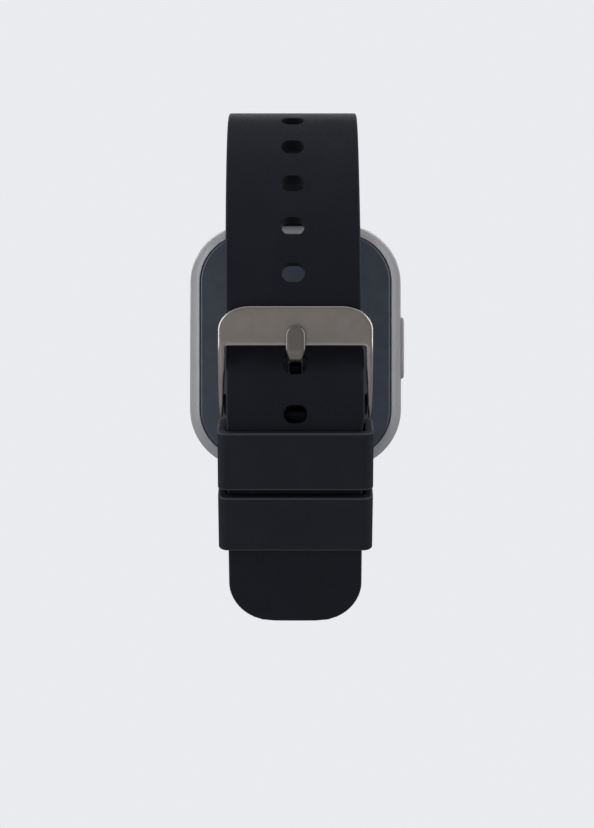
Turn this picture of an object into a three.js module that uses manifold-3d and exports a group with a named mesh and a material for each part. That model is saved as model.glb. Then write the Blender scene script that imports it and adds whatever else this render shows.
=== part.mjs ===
// A smartwatch with a buckled silicone strap: rounded case, two strap halves on spring bars,
// a tang buckle and two keeper loops. +X is the button side, +Y faces the display, +Z is up.
// The origin is the centre of the optical sensor window, where the watch rests on the wrist.
import * as THREE from 'three';
import { mergeVertices } from 'three/addons/utils/BufferGeometryUtils.js';
import Module from 'manifold-3d';

const wasm = await Module();
wasm.setup();

// ---- Driving dimensions, in millimetres and degrees ----

// Case. back and front are the Y of its two faces.
const CASE = { width: 37, height: 42.7, corner: 10.3, back: 1.2, front: 10.4 };
const CASE_BACK_ROUND = { width: 2.1, depth: 4.4 };
const CASE_FRONT_ROUND = { width: 1, depth: 1.2 };
const CAVITY = { width: 31.2, height: 32, corner: 5.5 };
const BACK_RECESS = { inset: 1.95, floor: 2.4 };
const GLASS_RECESS = { inset: 0.8, floor: 9 };
// The strap's pivot at each end of the case, and the slot in the end face that the strap swings in.
const LUG = { y: 5.8, z: 19.4, width: 20.6, round: 1.85, half: 1.75 };
const SWING = { closed: 114, open: 84, slack: 5 };
const CLEARANCE = 0.3;

// Strap.
const STRAP_WIDTH = 20;
const STRAP_EDGE = 0.35;
const LONG_THICKNESS = 2.2;
const SHORT_THICKNESS = 2.5;
const EYE_RADIUS = 1.5;
const EYE_TAPER = 12;
const PITCH = 6.95;
const HOLE = { width: 3.4, height: 2.75, corner: 1.1 };
// The hole on the tongue is pulled longer, upwards.
const STRETCHED_HOLE = { height: 3.38, rise: 0.25 };

// Both straps leave the case in a short bend. Over the top of the loop the long strap's bend, 1/radius,
// rises from flat to flat + peak at a distance, and falls again.
const ROOT_BEND = { radius: 12, end: 131.2 };
const BEND = { flat: 0.02465, peak: 0.05067, at: 46.13, width: 3.27 };
const FIRST_HOLE_ABOVE_FRONT = 5.6;

// The short strap's bends, from the keepers to the lower lug.
const SHORT_BEND = { start: 27, radius: 14, rootTurn: 23 };

// Where both strap halves lie on each other they follow one circle, centred on the wrist side.
const WRAP = { y: 20.4, z: 3.3, radius: 75, end: 22.9 };
const STEP_TOP = 1.2;
const STEP_RADIUS = 9;
const TIP = { length: 17.4, cornerWidth: 5.9, cornerLength: 6.6 };
const SHORT_GAP = 0.2;

// Buckle and keepers.
const BAR_Z = -8.3;
const BAR_RADIUS = 0.5;
const BUCKLE = { width: 22.75, opening: 20.7, top: 5.85, bottom: 0.15, cornerWidth: 4.7, cornerHeight: 3.5 };
const CROSSBAR = { back: -52.3, front: -54.3 };
const ARM_END_RADIUS = 1.7;
const ARM_FOOT = { inner: 10.75, outer: 11.2 };
const ARM_LEAN = 22;
const TONGUE = { width: 2.9, neck: 2, thickness: 1, face: -55, tip: 3, rise: 5.15, bend: 1.2, lean: 88 };
const KEEPER = { width: 22.95, length: 8.76, corner: 1.4, side: 1.25, front: 1.6, gap: 0.3, back: 1.4 };
const KEEPER_AT = { upper: 15.4, lower: 22.9 };

// Case back and insides.
const WINDOW_RADIUS = 6;
const CONTACT = { radius: 1, x: 2.5, z: -11.5 };
const FRAME_PLATE = { back: 5.7, front: 6.1 };
const BOARD_SCREWS = [[-11.6, 11.6], [9, -11.6]];
const MOTOR = { x: 9.2, z: 9, radius: 4, back: 2.35, front: 5.3 };

// Side button.
const BUTTON = { y: 5.8, z: -0.35, length: 10.8, height: 3, proud: 0.5, travel: 0.4 };
const STEM_RADIUS = 0.7;

// Spring bars.
const SPRING_BAR = { radius: 0.75, bore: 0.52, half: 9.6, pin: 0.4, reach: 11.2, root: 8 };

const degrees = THREE.MathUtils.degToRad;

// ---- Materials ----

function material(colour, roughness, metalness = 0) {
  return new THREE.MeshStandardMaterial({ color: colour, roughness, metalness });
}

const caseGrey = material(0x93949a, 0.45);
const buttonGrey = material(0xa19fa1, 0.4);
const coverSlate = material(0x31363c, 0.5);
const windowBlack = material(0x101114, 0.12);
const glassBlack = material(0x08090a, 0.08);
const silicone = material(0x1d1e22, 0.7);
const gunmetal = material(0x67625e, 0.35, 1);
const steel = material(0xb8bac0, 0.3, 1);
const gold = material(0xc9a45a, 0.3, 1);
const boardGreen = material(0x1f4a34, 0.6);
const chipBlack = material(0x17181a, 0.5);
const batteryWrap = material(0x9aa0a6, 0.4, 0.4);
const frameBlack = material(0x232427, 0.6);
const sealRubber = material(0x2b2b2d, 0.8);
const ledLens = material(0xd9e8c8, 0.2);

// ---- Solids ----

function solid(geometry) {
  const bare = geometry.clone();
  bare.deleteAttribute('normal');
  bare.deleteAttribute('uv');
  const merged = mergeVertices(bare, 1e-5);
  const corners = merged.index.array;
  const triVerts = [];
  for (let i = 0; i < corners.length; i += 3) {
    const [a, b, c] = [corners[i], corners[i + 1], corners[i + 2]];
    if (a !== b && b !== c && c !== a) triVerts.push(a, b, c);
  }
  return new wasm.Manifold(new wasm.Mesh({
    numProp: 3,
    vertProperties: new Float32Array(merged.attributes.position.array),
    triVerts: new Uint32Array(triVerts),
  }));
}

function meshOf(name, body, look) {
  const shape = body.getMesh();
  const geometry = new THREE.BufferGeometry();
  geometry.setAttribute('position', new THREE.BufferAttribute(shape.vertProperties, 3));
  geometry.setIndex(new THREE.BufferAttribute(shape.triVerts, 1));
  geometry.computeVertexNormals();
  const mesh = new THREE.Mesh(geometry, look);
  mesh.name = name;
  return mesh;
}

function roundedRectangle(width, height, radius, x = 0, y = 0) {
  const outline = new THREE.Shape();
  const [w, h] = [width / 2 - radius, height / 2 - radius];
  outline.absarc(x + w, y + h, radius, 0, Math.PI / 2);
  outline.absarc(x - w, y + h, radius, Math.PI / 2, Math.PI);
  outline.absarc(x - w, y - h, radius, Math.PI, 1.5 * Math.PI);
  outline.absarc(x + w, y - h, radius, 1.5 * Math.PI, 2 * Math.PI);
  outline.closePath();
  return outline;
}

// An X-Z outline with thickness along Y, from y = back to y = front.
function slab(outline, back, front, segments = 6) {
  const geometry = new THREE.ExtrudeGeometry(outline, {
    depth: front - back,
    bevelEnabled: false,
    curveSegments: segments,
  });
  geometry.rotateX(Math.PI / 2);
  geometry.translate(0, front, 0);
  return solid(geometry);
}

// The same with both ends rounded over: round.width inwards by round.depth along Y.
function softSlab(outline, back, front, round, segments = 6, steps = 4) {
  const geometry = new THREE.ExtrudeGeometry(outline, {
    depth: front - back - 2 * round.depth,
    bevelThickness: round.depth,
    bevelSize: round.width,
    bevelOffset: -round.width,
    bevelSegments: steps,
    curveSegments: segments,
  });
  geometry.rotateX(Math.PI / 2);
  geometry.translate(0, front - round.depth, 0);
  return solid(geometry);
}

// A Y-Z outline with thickness along X, centred on x = 0.
function across(outline, width, edge = 0, segments = 6) {
  const geometry = new THREE.ExtrudeGeometry(outline, {
    depth: width - 2 * edge,
    bevelEnabled: edge > 0,
    bevelThickness: edge,
    bevelSize: edge,
    bevelOffset: -edge,
    bevelSegments: 1,
    curveSegments: segments,
  });
  geometry.translate(0, 0, edge - width / 2);
  const turn = new THREE.Matrix4().makeBasis(
    new THREE.Vector3(0, 1, 0),
    new THREE.Vector3(0, 0, 1),
    new THREE.Vector3(1, 0, 0),
  );
  geometry.applyMatrix4(turn);
  return solid(geometry);
}

function box(x0, x1, y0, y1, z0, z1) {
  const geometry = new THREE.BoxGeometry(x1 - x0, y1 - y0, z1 - z0);
  geometry.translate((x0 + x1) / 2, (y0 + y1) / 2, (z0 + z1) / 2);
  return solid(geometry);
}

function rodX(radius, x0, x1, y, z, sides = 12) {
  const geometry = new THREE.CylinderGeometry(radius, radius, x1 - x0, sides);
  geometry.rotateZ(Math.PI / 2);
  geometry.translate((x0 + x1) / 2, y, z);
  return solid(geometry);
}

function rodY(radius, y0, y1, x, z, sides = 24) {
  const geometry = new THREE.CylinderGeometry(radius, radius, y1 - y0, sides);
  geometry.translate(x, (y0 + y1) / 2, z);
  return solid(geometry);
}

// ---- Strap routes: centre lines in the Y-Z plane ----

// Each point of a route knows its place, its heading (0 along +Y, 90 along +Z) and its distance.
class Route {
  constructor(y, z, heading) {
    this.points = [{ y, z, heading, at: 0 }];
  }

  get end() {
    return this.points[this.points.length - 1];
  }

  move(length, turn) {
    const { y, z, heading, at } = this.end;
    const middle = degrees(heading + turn / 2);
    this.points.push({
      y: y + length * Math.cos(middle),
      z: z + length * Math.sin(middle),
      heading: heading + turn,
      at: at + length,
    });
  }

  line(length) {
    this.move(length, 0);
    return this;
  }

  // A left turn is positive.
  arc(radius, turn, steps = Math.ceil(Math.abs(turn) / 6.5)) {
    const length = radius * degrees(Math.abs(turn)) / steps;
    for (let i = 0; i < steps; i++) this.move(length, turn / steps);
    return this;
  }

  // One arc that ends on a given point.
  arcTo(y, z) {
    const from = this.end;
    const [dy, dz] = [y - from.y, z - from.z];
    const chord = Math.hypot(dy, dz);
    const offset = Math.atan2(dz, dy) - degrees(from.heading);
    const half = Math.atan2(Math.sin(offset), Math.cos(offset));
    const radius = chord / (2 * Math.sin(Math.abs(half)));
    return this.arc(radius, THREE.MathUtils.radToDeg(2 * half));
  }

  // The place and heading a given distance along.
  point(distance) {
    const next = this.points.findIndex((p) => p.at >= distance);
    const b = this.points[Math.max(next, 1)];
    const a = this.points[Math.max(next, 1) - 1];
    const t = (distance - a.at) / (b.at - a.at);
    return {
      y: THREE.MathUtils.lerp(a.y, b.y, t),
      z: THREE.MathUtils.lerp(a.z, b.z, t),
      heading: THREE.MathUtils.lerp(a.heading, b.heading, t),
    };
  }
}

// The outline of a band along a route; half(distance) is half its thickness, and a round
// end has the same radius as the band's half thickness there.
function band(route, half, roundStart, roundEnd) {
  const right = [];
  const left = [];
  for (const p of route.points) {
    const h = half(p.at);
    const normal = [-Math.sin(degrees(p.heading)) * h, Math.cos(degrees(p.heading)) * h];
    left.push(new THREE.Vector2(p.y + normal[0], p.z + normal[1]));
    right.push(new THREE.Vector2(p.y - normal[0], p.z - normal[1]));
  }
  const points = [...right, ...(roundEnd ? cap(route.end, half(route.end.at), -90) : [])];
  points.push(...left.reverse());
  if (roundStart) points.push(...cap(route.points[0], half(0), 90));
  return new THREE.Shape(points);
}

// The points of a half circle round the end of a band, without its two ends.
function cap(p, radius, from, steps = 8) {
  const points = [];
  for (let i = 1; i < steps; i++) {
    const angle = degrees(p.heading + from + 180 * i / steps);
    points.push(new THREE.Vector2(p.y + radius * Math.cos(angle), p.z + radius * Math.sin(angle)));
  }
  return points;
}

// From the upper lug over the top of the loop to its front, then the part below the front.
function longRoute() {
  const route = new Route(LUG.y, LUG.z, SWING.closed);
  route.arc(ROOT_BEND.radius, ROOT_BEND.end - SWING.closed);
  const root = route.end.at;
  const step = 2.2;
  while (route.end.heading < 270) {
    const middle = route.end.at - root + step / 2;
    const bend = BEND.flat + BEND.peak / (1 + ((middle - BEND.at) / BEND.width) ** 2);
    const turn = THREE.MathUtils.radToDeg(bend * step);
    const share = Math.min(1, (270 - route.end.heading) / turn);
    route.move(step * share, turn * share + (share < 1 ? 1e-9 : 0));
  }
  const front = route.end.at;
  route.end.heading = 270;
  route.line(route.end.z - STEP_TOP);
  const radius = WRAP.radius - LONG_THICKNESS / 2;
  const first = { y: route.end.y - STEP_RADIUS, z: STEP_TOP };
  const apart = Math.hypot(first.y - WRAP.y, first.z - WRAP.z);
  const side = radius - STEP_RADIUS;
  const tilt = Math.atan2(WRAP.z - first.z, WRAP.y - first.y);
  const sum = 2 * STEP_RADIUS;
  const out = Math.acos((sum ** 2 + apart ** 2 - side ** 2) / (2 * sum * apart));
  const wrap = Math.acos((side ** 2 + apart ** 2 - sum ** 2) / (2 * side * apart));
  const outTurn = THREE.MathUtils.radToDeg(out - tilt);
  const start = THREE.MathUtils.radToDeg(wrap + tilt);
  route.arc(STEP_RADIUS, -outTurn);
  route.arc(STEP_RADIUS, outTurn + start);
  route.arc(radius, WRAP.end - start, 8);
  route.line(TIP.length);
  return { route, front };
}

const { route: longLine, front: longFront } = longRoute();

// A point on the circle both straps follow: angle is degrees below the circle's centre height.
function onWrap(radius, angle) {
  return {
    y: WRAP.y - radius * Math.cos(degrees(angle)),
    z: WRAP.z - radius * Math.sin(degrees(angle)),
  };
}

const SHORT_RADIUS = WRAP.radius - LONG_THICKNESS - SHORT_GAP - SHORT_THICKNESS / 2;
const BAR_ANGLE = THREE.MathUtils.radToDeg(Math.asin((WRAP.z - BAR_Z) / SHORT_RADIUS));
const BAR = onWrap(SHORT_RADIUS, BAR_ANGLE);

// From the buckle bar down to the lower lug, ending in the same short bend as the long strap.
function shortRoute() {
  const route = new Route(BAR.y, BAR.z, 270 + BAR_ANGLE);
  const { start, radius, rootTurn } = SHORT_BEND;
  route.arc(SHORT_RADIUS, start - BAR_ANGLE, 6);
  route.arc(radius, 90 - start, 10);
  const last = 180 - SWING.closed;
  const joinHeading = degrees(last - rootTurn);
  const joinY = LUG.y - ROOT_BEND.radius * (Math.sin(degrees(last)) - Math.sin(joinHeading));
  const joinZ = -LUG.z - ROOT_BEND.radius * (Math.cos(joinHeading) - Math.cos(degrees(last)));
  return route.arcTo(joinY, joinZ).arc(ROOT_BEND.radius, rootTurn);
}

// Half thickness of a strap that swells to its eye at the lug.
function swelling(thin, distanceToLug) {
  const t = THREE.MathUtils.clamp(1 - distanceToLug / EYE_TAPER, 0, 1);
  return thin / 2 + (EYE_RADIUS - thin / 2) * t * t * (3 - 2 * t);
}

// Moves a solid drawn round the origin, with y along the strap and z through it, onto a route point.
function ontoStrap(geometry, place) {
  const along = new THREE.Vector3(0, Math.cos(degrees(place.heading)), Math.sin(degrees(place.heading)));
  const side = new THREE.Vector3(1, 0, 0);
  const through = new THREE.Vector3().crossVectors(side, along);
  const matrix = new THREE.Matrix4().makeBasis(side, along, through);
  matrix.setPosition(0, place.y, place.z);
  geometry.applyMatrix4(matrix);
  return solid(geometry);
}

function holeCutter(height, depth) {
  const geometry = new THREE.ExtrudeGeometry(roundedRectangle(HOLE.width, height, HOLE.corner), {
    depth,
    bevelEnabled: false,
    curveSegments: 4,
  });
  return geometry.translate(0, 0, -depth / 2);
}

// The waste outside the rounded corner of the strap's tip, for side = 1 or -1.
function tipCorner(side) {
  const waste = new THREE.Shape();
  const edge = side * STRAP_WIDTH / 2;
  const inner = edge - side * TIP.cornerWidth;
  const steps = 8;
  const arc = [];
  for (let i = 0; i <= steps; i++) {
    const angle = Math.PI / 2 * i / steps;
    const x = inner + side * TIP.cornerWidth * Math.cos(angle);
    arc.push(new THREE.Vector2(x, -TIP.cornerLength + TIP.cornerLength * Math.sin(angle)));
  }
  waste.setFromPoints([...arc, new THREE.Vector2(inner, 2), new THREE.Vector2(edge + side * 2, 2),
    new THREE.Vector2(edge + side * 2, -TIP.cornerLength)]);
  const geometry = new THREE.ExtrudeGeometry(waste, { depth: 6, bevelEnabled: false });
  return geometry.translate(0, 0, -3);
}

function longStrap() {
  const outline = band(longLine, (at) => swelling(LONG_THICKNESS, at), true, false);
  let strap = across(outline, STRAP_WIDTH, STRAP_EDGE);
  strap = strap.subtract(rodX(SPRING_BAR.radius + 0.2, -15, 15, LUG.y, LUG.z, 16));
  for (let i = -3; i < 7; i++) {
    const { height, rise } = i === -2 ? STRETCHED_HOLE : { height: HOLE.height, rise: 0 };
    const place = longLine.point(longFront - FIRST_HOLE_ABOVE_FRONT - PITCH * i - rise);
    strap = strap.subtract(ontoStrap(holeCutter(height, 8), place));
  }
  for (const side of [1, -1]) strap = strap.subtract(ontoStrap(tipCorner(side), longLine.end));
  return strap;
}

const shortLine = shortRoute();

function shortStrap() {
  const total = shortLine.end.at;
  const outline = band(shortLine, (at) => swelling(SHORT_THICKNESS, total - at), true, true);
  let strap = across(outline, STRAP_WIDTH, STRAP_EDGE);
  strap = strap.subtract(rodX(SPRING_BAR.radius + 0.2, -15, 15, LUG.y, -LUG.z, 16));
  strap = strap.subtract(rodX(BAR_RADIUS + 0.25, -15, 15, BAR.y, BAR.z));
  const slotHalf = TONGUE.width / 2 + 0.35;
  return strap.subtract(box(-slotHalf, slotHalf, BAR.y - 4, BAR.y + 4, BAR.z - 1.5, BAR.z + 4));
}

// ---- Case ----

function insetOutline(inset) {
  return roundedRectangle(CASE.width - 2 * inset, CASE.height - 2 * inset, CASE.corner - inset);
}

// The slot in an end face, wide enough for the strap to swing from closed to open.
function lugSlot(side) {
  let slot = rodX(LUG.round, -LUG.width / 2, LUG.width / 2, LUG.y, side * LUG.z, 24);
  const headings = [SWING.open, (SWING.open + SWING.closed) / 2, SWING.closed, SWING.closed + SWING.slack];
  for (const heading of headings) {
    const reach = new Route(LUG.y, side * LUG.z, side * heading).line(8);
    slot = slot.add(across(band(reach, () => LUG.half, false, false), LUG.width));
  }
  return slot;
}

function midCase() {
  const outline = insetOutline(0);
  const far = 12;
  const backHalf = softSlab(outline, CASE.back, CASE.front + far, CASE_BACK_ROUND, 7);
  const frontHalf = softSlab(outline, CASE.back - far, CASE.front, CASE_FRONT_ROUND, 7, 3);
  let shell = backHalf.intersect(frontHalf);
  const cavity = roundedRectangle(CAVITY.width, CAVITY.height, CAVITY.corner);
  shell = shell.subtract(slab(cavity, -5, 15, 4));
  shell = shell.subtract(slab(insetOutline(BACK_RECESS.inset), -5, BACK_RECESS.floor));
  shell = shell.subtract(slab(insetOutline(GLASS_RECESS.inset), GLASS_RECESS.floor, 15));
  for (const side of [1, -1]) {
    shell = shell.subtract(lugSlot(side));
    shell = shell.subtract(rodX(SPRING_BAR.pin + CLEARANCE, -11.6, 11.6, LUG.y, side * LUG.z));
  }
  const pocket = roundedRectangle(BUTTON.height + 0.5, BUTTON.length + 0.5, BUTTON.height / 2 + 0.2);
  const pocketShape = { depth: 4, bevelEnabled: false, curveSegments: 5 };
  const pocketGeometry = new THREE.ExtrudeGeometry(pocket, pocketShape);
  pocketGeometry.applyMatrix4(buttonFrame(17.4));
  shell = shell.subtract(solid(pocketGeometry));
  shell = shell.subtract(rodX(1.5, 16.5, 18, BUTTON.y, BUTTON.z));
  shell = shell.subtract(rodX(STEM_RADIUS + CLEARANCE, 14, 18, BUTTON.y, BUTTON.z));
  return shell.subtract(rodX(0.45, -20, -14, 7, 2.6, 10));
}

function backCover() {
  const inset = BACK_RECESS.inset + 0.2;
  let cover = softSlab(insetOutline(inset), 0.8, 2, { width: 0.4, depth: 0.4 }, 6, 2);
  cover = cover.subtract(rodY(WINDOW_RADIUS + CLEARANCE, 0, 3, 0, 0, 36));
  for (const side of [1, -1]) {
    cover = cover.subtract(rodY(CONTACT.radius + CLEARANCE, 0, 3, side * CONTACT.x, CONTACT.z, 16));
  }
  return cover;
}

function sensorWindow() {
  const edge = 0.4;
  const profile = [
    new THREE.Vector2(0, 0),
    new THREE.Vector2(WINDOW_RADIUS - edge, 0),
    new THREE.Vector2(WINDOW_RADIUS, edge),
    new THREE.Vector2(WINDOW_RADIUS, 1.85),
    new THREE.Vector2(0, 1.85),
  ];
  return solid(new THREE.LatheGeometry(profile, 36));
}

function ring(outer, inner, back, front) {
  return slab(outer, back, front, 5).subtract(slab(inner, back - 1, front + 1, 5));
}

function innerFrame() {
  const outer = roundedRectangle(30.8, 31.6, 5.3);
  const inner = roundedRectangle(28.6, 29.4, 4.2);
  let frame = slab(outer, 2.6, 7.5, 4);
  frame = frame.subtract(slab(inner, 0, FRAME_PLATE.back, 4));
  frame = frame.subtract(slab(inner, FRAME_PLATE.front, 9, 4));
  frame = frame.subtract(box(11.8, 14.2, 2, 9, BUTTON.z - 3.2, BUTTON.z + 3.2));
  frame = frame.subtract(box(13.5, 16, 4, 9, BUTTON.z - 1.9, BUTTON.z + 1.9));
  frame = frame.subtract(rodX(0.45, -17, -13.6, 7, 2.6, 10));
  frame = frame.subtract(box(-4, 4, 5, 7, 11.4, 13.6));
  for (const [x, z] of BOARD_SCREWS) frame = frame.subtract(rodY(0.8, 5, 7, x, z, 12));
  return frame;
}

function mainBoard() {
  let board = slab(roundedRectangle(24.8, 27.4, 3, -1.2, 0), 6.3, 6.9, 4);
  for (const [x, z] of BOARD_SCREWS) board = board.subtract(rodY(0.8, 6, 7, x, z, 12));
  return board;
}

function boardScrew([x, z]) {
  const head = rodY(1.1, 7, 7.5, x, z, 16);
  return head.add(rodY(0.5, 5.75, 7, x, z, 12)).subtract(box(x - 0.7, x + 0.7, 7.3, 8, z - 0.12, z + 0.12));
}

// ---- Vibration motor ----

function motorCan() {
  const { x, z, radius, front } = MOTOR;
  return rodY(radius, 2.7, front, x, z).subtract(rodY(radius - 0.3, 2, front - 0.3, x, z));
}

function motorRotor() {
  const { x, z } = MOTOR;
  const weight = rodY(3.2, 3.1, 4.4, x, z).subtract(box(x - 5, x + 5, 3, 5, z - 5, z));
  return weight.add(rodY(1.1, 3.1, 4.4, x, z, 16)).subtract(rodY(0.7, 2, 5, x, z, 12));
}

// ---- Button ----

// Local x is Y, local y is Z and local z is X, starting at a given x.
function buttonFrame(x) {
  const matrix = new THREE.Matrix4().makeBasis(
    new THREE.Vector3(0, 1, 0),
    new THREE.Vector3(0, 0, 1),
    new THREE.Vector3(1, 0, 0),
  );
  return matrix.setPosition(x, BUTTON.y, BUTTON.z);
}

function buttonCap() {
  const outer = CASE.width / 2 + BUTTON.proud;
  const inner = 17.4 + BUTTON.travel + 0.05;
  const round = 0.35;
  const outline = roundedRectangle(BUTTON.height, BUTTON.length, BUTTON.height / 2 - 0.05);
  const geometry = new THREE.ExtrudeGeometry(outline, {
    depth: outer - inner - 2 * round,
    bevelThickness: round,
    bevelSize: round,
    bevelOffset: -round,
    bevelSegments: 2,
    curveSegments: 5,
  });
  geometry.translate(0, 0, round);
  geometry.applyMatrix4(buttonFrame(inner));
  return solid(geometry).add(rodX(STEM_RADIUS, 14.8, inner + 0.2, BUTTON.y, BUTTON.z));
}

function ringX(outer, inner, x0, x1, y, z) {
  return rodX(outer, x0, x1, y, z, 16).subtract(rodX(inner, x0 - 1, x1 + 1, y, z, 16));
}

function sideSwitch() {
  const body = box(12.2, 13.9, BUTTON.y - 1.1, BUTTON.y + 1.1, BUTTON.z - 2.2, BUTTON.z + 2.2);
  return body.add(rodX(0.6, 13.8, 14.3, BUTTON.y, BUTTON.z));
}

// ---- Spring bars ----

// The bar at the upper (side = 1) or lower (side = -1) lug: a tube, a sprung pin in each end, and the spring.
function springBar(prefix, side) {
  const { radius, bore, half, pin, reach, root } = SPRING_BAR;
  const [y, z] = [LUG.y, side * LUG.z];
  return [
    meshOf(`${prefix}_bar_tube`, ringX(radius, bore, -half, half, y, z), steel),
    meshOf(`${prefix}_bar_pin_left`, rodX(pin, -reach, -root, y, z, 10), steel),
    meshOf(`${prefix}_bar_pin_right`, rodX(pin, root, reach, y, z, 10), steel),
    barSpring(`${prefix}_bar_spring`, y, z),
  ];
}

class Helix extends THREE.Curve {
  constructor(y, z) {
    super();
    Object.assign(this, { y, z });
  }

  getPoint(t) {
    const angle = t * 6 * 2 * Math.PI;
    const radius = 0.34;
    const half = SPRING_BAR.root - 0.3;
    const x = half * (2 * t - 1);
    return new THREE.Vector3(x, this.y + radius * Math.cos(angle), this.z + radius * Math.sin(angle));
  }
}

function barSpring(name, y, z) {
  const wire = new THREE.Shape();
  wire.absarc(0, 0, 0.1, 0, 2 * Math.PI);
  const geometry = new THREE.ExtrudeGeometry(wire, {
    extrudePath: new Helix(y, z),
    steps: 48,
    curveSegments: 3,
    bevelEnabled: false,
  });
  return meshOf(name, solid(geometry), steel);
}

// ---- Buckle ----

function buckleFrame() {
  const middle = (CROSSBAR.back + CROSSBAR.front) / 2;
  const bend = 5;
  const lean = ARM_LEAN;
  const bendY = bend * (1 - Math.cos(degrees(lean)));
  const side = new Route(BAR.y, BAR.z, 90 + lean);
  side.line((BAR.y - middle - bendY) / Math.sin(degrees(lean))).arc(bend, -lean, 4);
  const taper = side.end.at;
  side.line(BUCKLE.top - side.end.z);
  const thin = (CROSSBAR.back - CROSSBAR.front) / 2;
  const half = (at) => THREE.MathUtils.lerp(ARM_END_RADIUS, thin, Math.min(1, at / taper));
  const profile = across(band(side, half, true, false), BUCKLE.width);
  const [outer, inner] = [BUCKLE.width / 2, BUCKLE.opening / 2];
  const front = new THREE.Shape();
  const foot = BAR.z - 2;
  front.moveTo(-outer, BUCKLE.bottom);
  front.lineTo(-ARM_FOOT.outer, foot);
  front.lineTo(-ARM_FOOT.inner, foot);
  front.lineTo(-inner, BUCKLE.bottom);
  front.lineTo(inner, BUCKLE.bottom);
  front.lineTo(ARM_FOOT.inner, foot);
  front.lineTo(ARM_FOOT.outer, foot);
  front.lineTo(outer, BUCKLE.bottom);
  front.absellipse(
    outer - BUCKLE.cornerWidth,
    BUCKLE.top - BUCKLE.cornerHeight,
    BUCKLE.cornerWidth,
    BUCKLE.cornerHeight,
    0,
    Math.PI / 2,
  );
  front.absellipse(
    BUCKLE.cornerWidth - outer,
    BUCKLE.top - BUCKLE.cornerHeight,
    BUCKLE.cornerWidth,
    BUCKLE.cornerHeight,
    Math.PI / 2,
    Math.PI,
  );
  front.closePath();
  const frame = profile.intersect(slab(front, -65, -40, 8));
  return frame.subtract(rodX(BAR_RADIUS + 0.25, -10.95, 10.95, BAR.y, BAR.z));
}

function buckleTongue() {
  const { rise, bend, lean } = TONGUE;
  const route = new Route(BAR.y, BAR.z, 90);
  const sidestep = bend * (1 - Math.cos(degrees(lean)));
  const slope = (BAR.y - TONGUE.face - 2 * sidestep) / Math.sin(degrees(lean));
  route.line(rise).arc(bend, lean).line(slope).arc(bend, -lean);
  route.line(TONGUE.tip - route.end.z);
  const strip = band(route, () => TONGUE.thickness / 2, false, false);
  const half = TONGUE.width / 2;
  const neck = TONGUE.neck / 2;
  const front = new THREE.Shape();
  front.moveTo(-neck, BAR.z - 3);
  front.lineTo(neck, BAR.z - 3);
  front.lineTo(neck, -1.7);
  front.lineTo(half, -0.5);
  front.absarc(0, TONGUE.tip - half, half, 0, Math.PI);
  front.lineTo(-half, -0.5);
  front.lineTo(-neck, -1.7);
  front.closePath();
  const leaf = across(strip, TONGUE.width).intersect(slab(front, -70, -40));
  const eye = rodX(1.2, -half, half, BAR.y, BAR.z, 16);
  return leaf.add(eye).subtract(rodX(BAR_RADIUS + 0.25, -5, 5, BAR.y, BAR.z));
}

function keeper(name, angle) {
  const outside = WRAP.radius + KEEPER.front;
  const inside = WRAP.radius - LONG_THICKNESS - SHORT_GAP - SHORT_THICKNESS - KEEPER.gap - KEEPER.back;
  const depth = outside - inside;
  const outline = roundedRectangle(KEEPER.width, depth, KEEPER.corner);
  const low = -depth / 2 + (KEEPER.front - KEEPER.gap);
  const high = depth / 2 - KEEPER.back;
  const opening = roundedRectangle(KEEPER.width - 2 * KEEPER.side, high - low, 0.5, 0, (low + high) / 2);
  outline.holes.push(opening);
  const round = 0.25;
  const geometry = new THREE.ExtrudeGeometry(outline, {
    depth: KEEPER.length - 2 * round,
    bevelThickness: round,
    bevelSize: round,
    bevelOffset: -round,
    bevelSegments: 1,
    curveSegments: 3,
  });
  geometry.translate(0, 0, round - KEEPER.length / 2);
  const mesh = meshOf(name, solid(geometry), silicone);
  const place = onWrap((outside + inside) / 2, angle);
  mesh.position.set(0, place.y, place.z);
  mesh.rotation.x = degrees(angle);
  return mesh;
}

// ---- Assembly ----

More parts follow.
